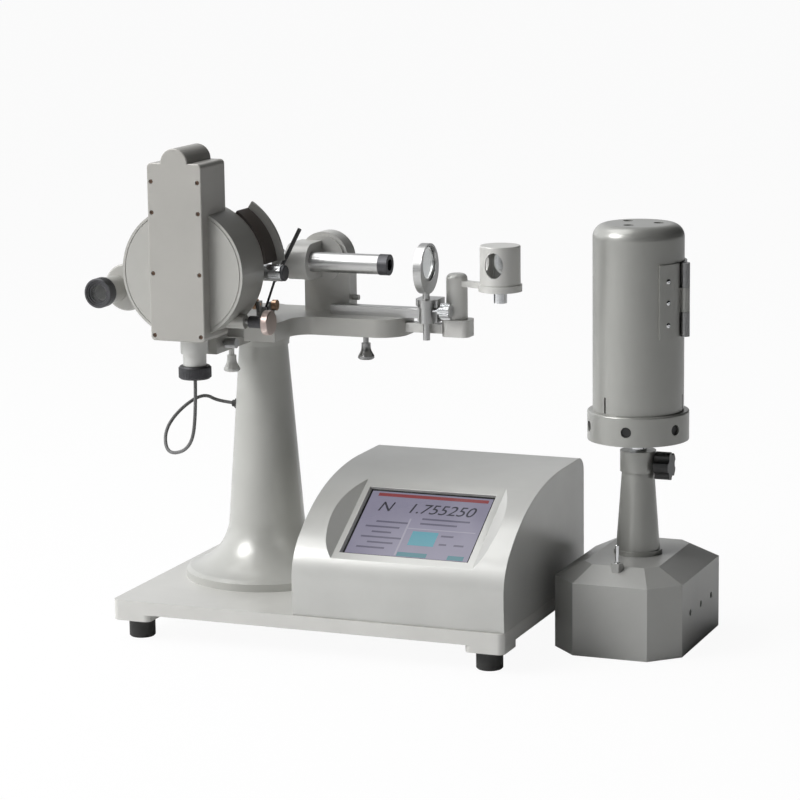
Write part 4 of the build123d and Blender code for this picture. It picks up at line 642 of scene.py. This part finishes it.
def on_slope(right, up, out):
    """A place on the console's slope, in the model's frame."""
    return FIELD_ORIGIN + FIELD_RIGHT * right + FIELD_UP * up + FIELD_OUT * out


def slope_block(name, outline, up_from, up_to):
    """A cutting block: an outline of (right, out) pairs, drawn along the slope."""
    return extruded(name, outline, on_slope(0, up_to, 0), FIELD_RIGHT, FIELD_OUT, up_to - up_from)


facet = FACET_SLANT * CUT_REACH
field_cutter = slope_block(
    "field",
    [
        (FIELD_LEFT_EDGE, FIELD_DEPTH),
        (FIELD_RIGHT_EDGE, FIELD_DEPTH),
        (FIELD_RIGHT_EDGE + facet, FIELD_DEPTH + CUT_REACH),
        (FIELD_LEFT_EDGE - facet, FIELD_DEPTH + CUT_REACH),
    ],
    FIELD_FROM,
    FIELD_TO,
)
opening_cutter = slope_block(
    "opening",
    [
        (OPENING_LEFT + LEFT_DRAFT, SCREEN_DEPTH),
        (OPENING_RIGHT - RIGHT_DRAFT, SCREEN_DEPTH),
        (OPENING_RIGHT + RIGHT_DRAFT, FIELD_DEPTH + OPENING_CLEAR),
        (OPENING_LEFT - LEFT_DRAFT, FIELD_DEPTH + OPENING_CLEAR),
    ],
    OPENING_LOW,
    OPENING_HIGH,
)
print("the field lies", -FIELD_DEPTH, "mm deep, the screen", -SCREEN_DEPTH)

# %% Cutting
def evaluated_mesh(piece):
    """A new mesh of the object as its modifiers leave it."""
    bpy.context.view_layer.update()
    return bpy.data.meshes.new_from_object(piece.evaluated_get(bpy.context.evaluated_depsgraph_get()))


def cut(mesh, cutters):
    """The mesh less the cutters."""
    piece = bpy.data.objects.new("being_cut", mesh)
    scene.collection.objects.link(piece)
    helpers = [piece]
    for cutter in cutters:
        helper = bpy.data.objects.new("cutter", cutter)
        scene.collection.objects.link(helper)
        step = piece.modifiers.new("cut", "BOOLEAN")
        step.operation = "DIFFERENCE"
        step.solver = "EXACT"
        step.object = helper
        helpers.append(helper)
    result = evaluated_mesh(piece)
    for helper in helpers:
        bpy.data.objects.remove(helper)
    return result


shell = cut(console_block, [field_cutter, opening_cutter])
print("after cutting:", len(shell.polygons), "faces")

# %% [markdown]
# ## Console: thin wall and soft edges
#
# The real cover is a few millimetres thick and open below. The block's underside is deleted, and
# a Solidify modifier grows the wall inwards from the outer faces, which stay where they are. A
# small bevel then softens every edge the cuts left, as a moulded or painted edge is.

# %% Console shell
CONSOLE_WALL = 3
SHELL_SMOOTH, SHELL_BEVEL, SHELL_BEVEL_FROM = 20, 0.7, 22
FACING = 0.99

bm = bmesh.new()
bm.from_mesh(shell)
bmesh.ops.remove_doubles(bm, verts=bm.verts, dist=TINY)
underside = [face for face in bm.faces if face.normal.z < -FACING]
bmesh.ops.delete(bm, geom=underside, context="FACES")
bm.to_mesh(shell)
bm.free()
soft_edges(shell, SHELL_SMOOTH)
shell.name = "console_shell"
console_shell = add_object("console_shell", shell, paint_console, "stand", ["console_fascia"])
wall = console_shell.modifiers.new("wall", "SOLIDIFY")
wall.thickness = CONSOLE_WALL * MM
wall.offset = -1
soft = console_shell.modifiers.new("soft", "BEVEL")
soft.width = SHELL_BEVEL * MM
soft.segments = BEVEL_SEGMENTS
soft.limit_method = "ANGLE"
soft.angle_limit = math.radians(SHELL_BEVEL_FROM)
soft.harden_normals = True
print("shell wall:", CONSOLE_WALL, "mm")

# %% [markdown]
# ## Screen glass and picture tiles
#
# The display is a sheet of black glass behind the opening, with a lit picture on it. The picture
# could be an image texture, but a few thin flat tiles with glowing colours stay sharp at any
# distance and need no file. Places on them are shares of the picture's width and height.

# %% Screen glass
GLASS_THICK, GLASS_EDGE = 1.2, 0.15
GLASS_SUNK, PICTURE_RISE = GLASS_THICK * 0.75, GLASS_THICK * 0.25

glass = extruded(
    "screen_glass",
    [
        (OPENING_LEFT, OPENING_LOW),
        (OPENING_RIGHT, OPENING_LOW),
        (OPENING_RIGHT, OPENING_HIGH),
        (OPENING_LEFT, OPENING_HIGH),
    ],
    on_slope(0, 0, SCREEN_DEPTH - GLASS_SUNK),
    FIELD_RIGHT,
    FIELD_UP,
    GLASS_THICK,
    GLASS_EDGE,
)
add_object("screen_glass", glass, screen_black, "stand", ["display_panel"])

# %% Picture tiles
PICTURE_LEFT, PICTURE_RIGHT, PICTURE_LOW, PICTURE_HIGH = -62.6, 53.8, 13.8, 94.8
PICTURE_WIDE, PICTURE_TALL = PICTURE_RIGHT - PICTURE_LEFT, PICTURE_HIGH - PICTURE_LOW
TILE_THICK = 0.06
GLOW = 0.55


def lit(name, color):
    """A glowing screen colour with a faint cloudiness, under a glossy face."""
    material, tree, shader = new_material(name)
    cloud = noise(tree, 40, 2)
    tint = ramp(tree, cloud.outputs["Fac"], [c * 0.96 for c in color], color)
    tree.links.new(tint.outputs["Color"], shader.inputs["Emission Color"])
    shader.inputs["Emission Strength"].default_value = GLOW
    shader.inputs["Base Color"].default_value = (0.02, 0.02, 0.02, 1)
    shader.inputs["Roughness"].default_value = 0.2
    return material


def layer_out(layer):
    """How far out on the slope a layer of tiles starts."""
    return SCREEN_DEPTH + PICTURE_RISE + TILE_THICK * layer


def tile(left, low, right, high, layer):
    """A thin tile on the screen, its sides as shares of the picture's width and height."""
    u = [PICTURE_LEFT + PICTURE_WIDE * share for share in (left, right)]
    v = [PICTURE_LOW + PICTURE_TALL * share for share in (low, high)]
    outline = [(u[0], v[0]), (u[1], v[0]), (u[1], v[1]), (u[0], v[1])]
    return extruded("tile", outline, on_slope(0, 0, layer_out(layer)), FIELD_RIGHT, FIELD_UP, TILE_THICK)


TEXT_LINE = 0.025
LEFT_LINES = [
    (0.07 + 0.07 * (k % 2), 0.10 + 0.082 * k, 0.30 + 0.05 * (k % 3), 0.10 + TEXT_LINE + 0.082 * k)
    for k in range(6)
]
RIGHT_LINES = [(0.50, 0.52 + 0.075 * k, 0.80 + 0.09 * k, 0.52 + TEXT_LINE + 0.075 * k) for k in range(2)]
SHORT_LINES = [
    (0.72, 0.22, 0.78, 0.22 + TEXT_LINE),
    (0.84, 0.22, 0.92, 0.22 + TEXT_LINE),
    (0.71, 0.35, 0.81, 0.35 + TEXT_LINE),
]
SCREEN_FIELDS = {
    "lavender": ((0.36, 0.34, 0.47), [(0, 0, 1, 1)], 0),
    "title_red": ((0.36, 0.05, 0.06), [(0.06, 0.925, 0.97, 0.975)], 1),
    "pale_line": ((0.50, 0.48, 0.60), [(0.40, 0.02, 0.415, 0.60), (0.40, 0.44, 0.97, 0.455)], 1),
    "cyan_key": ((0.08, 0.44, 0.56), [(0.47, 0.19, 0.68, 0.41)], 1),
    "teal_bar": ((0.05, 0.28, 0.34), [(0.42, 0.01, 0.66, 0.075), (0.83, 0.01, 0.96, 0.075)], 1),
    "grey_line": ((0.13, 0.12, 0.20), LEFT_LINES + RIGHT_LINES + SHORT_LINES, 2),
}
for name, (color, places, layer) in SCREEN_FIELDS.items():
    tiles = joined(name, [tile(*place, layer) for place in places], one_finish=True)
    add_object(name, tiles, lit(name, color), "stand")

# %% [markdown]
# ## Screen digits
#
# The reading is a plain slanted number. A text object draws it, and it becomes a mesh before it
# is laid on the slope, because a piece's place has to be in its mesh.

# %% Screen digits
READING = "N   1.755250"
DIGIT_LEFT, DIGIT_LOW, DIGIT_TALL, DIGIT_LAYER = 0.10, 0.69, 0.155, 2
LETTER_SHARE, DIGIT_SLANT = 1.38, 0.25

text = bpy.data.curves.new("digits", "FONT")
text.body = READING
text.size = LETTER_SHARE * DIGIT_TALL * PICTURE_TALL
text.shear = DIGIT_SLANT
text.extrude = TILE_THICK / 2
holder = bpy.data.objects.new("digits", text)
scene.collection.objects.link(holder)
digits = evaluated_mesh(holder)
bpy.data.objects.remove(holder)
digit_place = on_slope(
    PICTURE_LEFT + PICTURE_WIDE * DIGIT_LEFT,
    PICTURE_LOW + PICTURE_TALL * DIGIT_LOW,
    layer_out(DIGIT_LAYER + 0.5),
)
slope_turn = Matrix((FIELD_RIGHT, FIELD_UP, FIELD_OUT)).transposed().to_4x4()
digits.transform(Matrix.Scale(MM, 4) @ Matrix.Translation(digit_place) @ slope_turn)
digits.materials.clear()
add_object("screen_digits", digits, ink, "stand")

# %% [markdown]
# ## Turned pieces of several metals
#
# A clamp knob is a rod, a knurled head and an end cap, often of different metals. Each part is
# spun by itself and the parts are joined, each with its own finish, so that one piece still
# rides on one body. A plain bar with broken edges turns up in most of them.

# %% Turned pieces
BROKEN_EDGE = 0.6


def turned_piece(name, parts, centre, axis, body, replaced=()):
    """One piece out of several spun parts, each a (section, segments, ribs, material)."""
    meshes = [
        spun(f"{name}_part", section, centre, axis, segments, ribs) for section, segments, ribs, _ in parts
    ]
    mesh = joined(name, meshes)
    for *_, material in parts:
        mesh.materials.append(material)
    return add_object(name, mesh, None, body, replaced)


def bar(low, high, radius, edge=BROKEN_EDGE):
    """Section of a solid round bar from low to high, with broken edges."""
    return [
        (low, 0),
        (low, radius - edge),
        (low + edge, radius),
        (high - edge, radius),
        (high, radius - edge),
        (high, 0),
    ]


print("bars have their edges broken by", BROKEN_EDGE, "mm")

# %% [markdown]
# ## Plug ring and eyepiece ring
#
# The plug under the encoder box is held by a dark knurled ring that one turns by hand. The
# eyepiece ends in a ring too, finely ribbed, whose face steps down to the lens. Both sections are
# closed loops, because both rings are open in the middle: the lead passes through one, the eye
# looks through the other.

# %% Rings
PLUG_RING_FOOT = (-148.8, -104, 243)
PLUG_RING = [(0, 9.7), (0, 13.2), (1.2, 14.5), (10.4, 14.5), (11.7, 13.4), (11.7, 9.7), (0, 9.7)]
PLUG_RIBS, PLUG_RIB_BAND = 56, (1.3, 10.3, 0.35)
turned_piece(
    "plug_ring_knurled",
    [(PLUG_RING, PLUG_RIBS, PLUG_RIB_BAND, dark_knurl)],
    PLUG_RING_FOOT,
    (0, 0, 1),
    "plug_ring",
    ["connector_ring"],
)
EYE_RING_BACK = (-263.8, -56.1, 309.6)
EYE_RING = [
    (0, 8.1),
    (0, 13.0),
    (0.7, 13.7),
    (11.2, 13.7),
    (12, 13.0),
    (12, 11.6),
    (10.9, 11.0),
    (10.9, 9.9),
    (9.6, 9.3),
    (9.6, 8.1),
    (0, 8.1),
]
EYE_RIBS, EYE_RIB_BAND = 72, (0.8, 11.1, 0.15)
turned_piece(
    "eyepiece_ring_stepped",
    [(EYE_RING, EYE_RIBS, EYE_RIB_BAND, dark_knurl)],
    EYE_RING_BACK,
    (0, -1, 0),
    "eyepiece",
    ["eyepiece_ring"],
)

# %% [markdown]
# ## Clamp knob and fine drive
#
# Two knobs stand out to the right of the drum. The upper one clamps the circle: a bright knurled
# barrel with a dark end cap. The lower one is the tangent screw that moves the circle finely: a
# dark knurled sleeve with a flat pinkish metal head. Distances are counted from each knob's seat.

# %% Knobs beside the drum
CLAMP_SEAT, DRIVE_SEAT = (-102, -56, 334.5), (-85.5, -90, 294.5)
ROD_RADIUS, ROD_EDGE, ROD_SEGMENTS = 2.5, 0.2, 48
KNURL_HEIGHT = 0.25
turned_piece(
    "clamp_knob_turned",
    [
        (bar(-7.7, 0.5, ROD_RADIUS, ROD_EDGE), ROD_SEGMENTS, None, brushed),
        (bar(0, 20, 7.3), 44, (0.7, 19.3, KNURL_HEIGHT), chrome),
        (bar(19.9, 23, 7.2), 64, None, dark_knurl),
    ],
    CLAMP_SEAT,
    (1, 0, 0),
    "circle_clamp",
    ["circle_clamp_knob"],
)
turned_piece(
    "fine_drive_turned",
    [
        (bar(-32.5, -14.5, ROD_RADIUS, ROD_EDGE), ROD_SEGMENTS, None, brushed),
        (bar(-15, 0.2, 5.2), 40, (-14.3, -0.5, KNURL_HEIGHT), dark_knurl),
        (bar(0, 7, 11.0), 72, (0.8, 6.2, KNURL_HEIGHT), rose_metal),
    ],
    DRIVE_SEAT,
    (1, 0, 0),
    "fine_drive",
    ["tangent_screw"],
)

# %% [markdown]
# ## Cover screws
#
# Eight small brownish screws hold the encoder's cover. They sit in counterbores just under its
# face, so a camera sees a dark ring and a glint on the head. One section with a driver recess is
# spun for each, rather than copied with an array, because the rows aren't evenly spaced.

# %% Cover screws
SMALL_SEGMENTS = 32
COVER_SCREW = [
    (-1.6, 0),
    (-1.6, 1.95),
    (-0.6, 1.75),
    (-0.45, 1.5),
    (-0.45, 0.75),
    (-1.1, 0.75),
    (-1.1, 0),
]
COVER_MIDDLE_X, COVER_SCREW_SIDE, COVER_FACE_Y = -154.3, 22.7, -126
COVER_SCREW_HEIGHTS = [422, 394.5, 340, 284.4]
cover_screws = joined(
    "cover_screw_heads",
    [
        spun(
            "screw_head",
            COVER_SCREW,
            (COVER_MIDDLE_X + side * COVER_SCREW_SIDE, COVER_FACE_Y, height),
            (0, -1, 0),
            SMALL_SEGMENTS,
        )
        for side in (-1, 1)
        for height in COVER_SCREW_HEIGHTS
    ],
    one_finish=True,
)
add_object("cover_screw_heads", cover_screws, screw_brown, "stand", ["cover_screws"])

# %% [markdown]
# ## Lamp: painted shade in the holes, and hinge leaf screws
#
# The lamp head breathes through holes in its collar and its domed top, and they look black
# because its inside lies in shade. Thin black discs set back in the holes are painted shade: they
# stand for that shade, so the inside needs no dark paint. Its door's hinge leaf is held by three
# bright screws on the round wall, so each screw's axis points straight out from the lamp's own axis.

# %% Lamp details
LAMP_X, LAMP_Y = 222, 41
COLLAR_HOLES, COLLAR_HOLE_TURN, COLLAR_HOLE_HEIGHT, COLLAR_DISC_RADIUS = 6, -86.6, 197.25, 43.6
VENTS, VENT_TURN, VENT_HEIGHT, VENT_CIRCLE = 3, -102, 377.2, 18
HOLE_DISC = [(-0.4, 0), (-0.4, 4.7), (0, 4.7), (0, 0)]
LEAF_TURN, LEAF_RADIUS, LEAF_SCREW_HEIGHTS = -35, 43, (331, 312, 292)
LEAF_SCREW = [(-0.2, 0), (-0.2, 2.3), (0.3, 2.2), (0.75, 1.6), (0.9, 0.9), (0.5, 0.6), (0.5, 0)]


def around_lamp(turn, radius, height):
    """A place about the lamp's upright axis, and the direction straight out from it."""
    turn = math.radians(turn)
    outward = Vector((math.cos(turn), math.sin(turn), 0))
    return Vector((LAMP_X, LAMP_Y, height)) + outward * radius, outward


def spaced(count, first):
    """Turns in degrees, evenly spaced from the first."""
    return [first + 360 / count * k for k in range(count)]


# Black discs in the collar holes and the top vents: painted shade where the lamp's inside lies dark.
discs = [
    spun(
        "hole",
        HOLE_DISC,
        *around_lamp(turn, COLLAR_DISC_RADIUS, COLLAR_HOLE_HEIGHT),
        SMALL_SEGMENTS,
    )
    for turn in spaced(COLLAR_HOLES, COLLAR_HOLE_TURN)
]
discs += [
    spun("vent", HOLE_DISC, around_lamp(turn, VENT_CIRCLE, VENT_HEIGHT)[0], (0, 0, 1), SMALL_SEGMENTS)
    for turn in spaced(VENTS, VENT_TURN)
]
darkness = joined("lamp_hole_darkness", discs, one_finish=True)
add_object("lamp_hole_darkness", darkness, black_plastic, "lamp_head")
leaf_screws = joined(
    "leaf_screws",
    [
        spun("leaf_screw", LEAF_SCREW, *around_lamp(LEAF_TURN, LEAF_RADIUS, height), SMALL_SEGMENTS)
        for height in LEAF_SCREW_HEIGHTS
    ],
    one_finish=True,
)
add_object("leaf_screws", leaf_screws, chrome, "lamp_head")

# %% [markdown]
# ## Shade rim
#
# The prism shade is dark brown where it faces the prism and grey on its outer rim. It is one
# solid piece, so it could be split, but giving the faces beyond the wall's radius a second
# material keeps the piece whole, as a masked paint job does.

# %% Shade rim
SHADE_X, SHADE_Z, SHADE_WALL_RADIUS = -154.3, 339.5, 61.8
shade = nodes["prism_shade"].data
shade.materials.append(paint_grey)
for polygon in shade.polygons:
    away = math.hypot(polygon.center.x / MM - SHADE_X, polygon.center.z / MM - SHADE_Z)
    polygon.material_index = int(away > SHADE_WALL_RADIUS)
print("rim faces:", sum(polygon.material_index for polygon in shade.polygons))

# %% [markdown]
# ## Signal lead
#
# A thin limp lead runs from the plug under the encoder box down, round in one loop, and into the
# column's grommet. A mesh tube would do, but a NURBS curve through a few listed points bends
# smoothly, as a real lead does, and its bevel gives it the round section. The order and the end
# setting come after the points, because set before, they leave the curve with straight runs.

# %% Signal lead
LEAD_DIAMETER, LEAD_LENGTH = 3.2, 255
LEAD_ROUTE = [
    (-148.8, -104, 252),
    (-148.8, -104, 208),
    (-165, -84, 173),
    (-197, -67, 162),
    (-208, -51, 180),
    (-201, -34, 198),
    (-187, -9, 211),
    (-180.7, 14, 198),
    (-149.7, 14, 198),
]
curve = bpy.data.curves.new("signal_lead", "CURVE")
curve.dimensions = "3D"
spline = curve.splines.new("NURBS")
spline.points.add(len(LEAD_ROUTE) - 1)
for point, place in zip(spline.points, LEAD_ROUTE):
    point.co = (*(Vector(place) * MM), 1)
spline.order_u = 3
spline.use_endpoint_u = True
spline.resolution_u = 24
curve.bevel_depth = LEAD_DIAMETER / 2 * MM
curve.bevel_resolution = 6
curve.use_fill_caps = True
curve.materials.append(cable_skin)
lead = bpy.data.objects.new("signal_lead", curve)
scene.collection.objects.link(lead)
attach(lead, "stand")
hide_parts("signal_cable")
print("signal lead:", len(LEAD_ROUTE), "points,", LEAD_LENGTH, "mm")

# %% [markdown]
# ## Floor
#
# A studio shot on white has a floor that fades into the background but keeps a soft shadow. The
# floor is one very wide plane, so its far edge is out of sight. Most of what the camera sees of it
# is plain white glow, and the rest is a matt surface that takes the shadow. Other rays see only
# the matt surface, so the glow throws no light on the object.

# %% Floor
FLOOR_SIZE, FLOOR_DROP = 60, 0.0005
FLOOR_WHITE = 0.94
bpy.ops.mesh.primitive_plane_add(size=FLOOR_SIZE, location=(0, 0, -FLOOR_DROP))
floor = bpy.context.object
floor.name = "floor"
floor_paint, tree, shader = new_material("floor_paint")
speck = noise(tree, 30, 3)
tone = ramp(tree, speck.outputs["Fac"], (0.86, 0.86, 0.86), (0.88, 0.88, 0.88))
tree.links.new(tone.outputs["Color"], shader.inputs["Base Color"])
shader.inputs["Roughness"].default_value = 0.8
shader.inputs["Specular IOR Level"].default_value = 0.1
glow = tree.nodes.new("ShaderNodeEmission")
glow.inputs["Color"].default_value = (1, 1, 1, 1)
rays = tree.nodes.new("ShaderNodeLightPath")
share = tree.nodes.new("ShaderNodeMath")
share.operation = "MULTIPLY"
share.inputs[1].default_value = FLOOR_WHITE
blend = tree.nodes.new("ShaderNodeMixShader")
tree.links.new(rays.outputs["Is Camera Ray"], share.inputs[0])
tree.links.new(share.outputs["Value"], blend.inputs["Fac"])
tree.links.new(shader.outputs["BSDF"], blend.inputs[1])
tree.links.new(glow.outputs["Emission"], blend.inputs[2])
tree.links.new(blend.outputs["Shader"], tree.nodes["Material Output"].inputs["Surface"])
floor.data.materials.append(floor_paint)
print("floor", FLOOR_SIZE, "m wide")

# %% [markdown]
# ## Surround
#
# The photograph's round parts are bright on their left and dark on their right, so the light comes
# from a wide bright wall on the left. The surround is graded from left to right for the rays that
# light and mirror, and plain white for the camera and for what is seen through glass.

# %% Surround
LEFT_LIGHT, RIGHT_LIGHT = 1.4, 0.02
GRADE_FROM, GRADE_TO = -1, 0.15
world = bpy.data.worlds.new("surround")
scene.world = world
world.use_nodes = True
tree = world.node_tree
tree.nodes.clear()
out = tree.nodes.new("ShaderNodeOutputWorld")
graded = tree.nodes.new("ShaderNodeBackground")
graded.inputs["Color"].default_value = (0.98, 0.99, 1.0, 1)
white = tree.nodes.new("ShaderNodeBackground")
white.inputs["Color"].default_value = (1, 1, 1, 1)
where = tree.nodes.new("ShaderNodeTexCoord")
axes = tree.nodes.new("ShaderNodeSeparateXYZ")
grade = tree.nodes.new("ShaderNodeMapRange")
grade.inputs["From Min"].default_value = GRADE_FROM
grade.inputs["From Max"].default_value = GRADE_TO
grade.inputs["To Min"].default_value = LEFT_LIGHT
grade.inputs["To Max"].default_value = RIGHT_LIGHT
mix = tree.nodes.new("ShaderNodeMixShader")
rays = tree.nodes.new("ShaderNodeLightPath")
either = tree.nodes.new("ShaderNodeMath")
either.operation = "MAXIMUM"
tree.links.new(where.outputs["Generated"], axes.inputs["Vector"])
tree.links.new(axes.outputs["X"], grade.inputs["Value"])
tree.links.new(grade.outputs["Result"], graded.inputs["Strength"])
tree.links.new(rays.outputs["Is Camera Ray"], either.inputs[0])
tree.links.new(rays.outputs["Is Transmission Ray"], either.inputs[1])
tree.links.new(either.outputs["Value"], mix.inputs["Fac"])
tree.links.new(graded.outputs["Background"], mix.inputs[1])
tree.links.new(white.outputs["Background"], mix.inputs[2])
tree.links.new(mix.outputs["Shader"], out.inputs["Surface"])
print("surround from", LEFT_LIGHT, "on the left to", RIGHT_LIGHT, "on the right")

# %% [markdown]
# ## Lights
#
# Two large soft lights stand in for studio soft boxes: the key in front on the left, and a weaker
# one above. Large lights give soft shadow edges and broad highlights on the enamel.

# %% Lights
def soft_light(name, place, target, size, power):
    data = bpy.data.lights.new(name, "AREA")
    data.shape = "RECTANGLE"
    data.size, data.size_y = size
    data.energy = power
    lamp = bpy.data.objects.new(name, data)
    scene.collection.objects.link(lamp)
    lamp.location = place
    lamp.rotation_euler = (Vector(target) - Vector(place)).to_track_quat("-Z", "Y").to_euler()
    print(name, power, "W")


soft_light("key", (-1.5, -1.35, 1.7), (0, 0, 0.2), (1.2, 1.0), 44)
soft_light("top", (-0.7, -0.1, 2.0), (0, 0, 0), (1.6, 1.2), 13)

# %% [markdown]
# ## Camera
#
# The camera stands where the photograph was taken from: about 22 degrees round to the right and 11
# degrees above the bench, with a long lens, and tipped by less than a degree. A track-to
# constraint can't give that tip, so its three directions are built and put in its matrix.

# %% Camera
CAMERA_PLACE = (1.00834, -2.48959, 0.71567)
CAMERA_LENS, CAMERA_SENSOR, CAMERA_REACH = 134.46, 36, 100
azimuth, pitch, roll = math.radians(21.9), math.radians(10.6), math.radians(0.725)
right = Vector((math.cos(azimuth), math.sin(azimuth), 0))
ahead = Vector((-math.sin(azimuth) * math.cos(pitch), math.cos(azimuth) * math.cos(pitch), -math.sin(pitch)))
up = right.cross(ahead)
tipped_right = math.cos(roll) * right - math.sin(roll) * up
tipped_up = math.sin(roll) * right + math.cos(roll) * up
camera_data = bpy.data.cameras.new("camera")
camera_data.sensor_width = CAMERA_SENSOR
camera_data.lens = CAMERA_LENS
camera_data.clip_end = CAMERA_REACH
camera = bpy.data.objects.new("camera", camera_data)
scene.collection.objects.link(camera)
camera_turn = Matrix((tipped_right, tipped_up, -ahead)).transposed().to_4x4()
camera.matrix_world = Matrix.Translation(CAMERA_PLACE) @ camera_turn
scene.camera = camera
scene.view_settings.view_transform = "Standard"
print("camera looks along", [round(part, 3) for part in ahead])
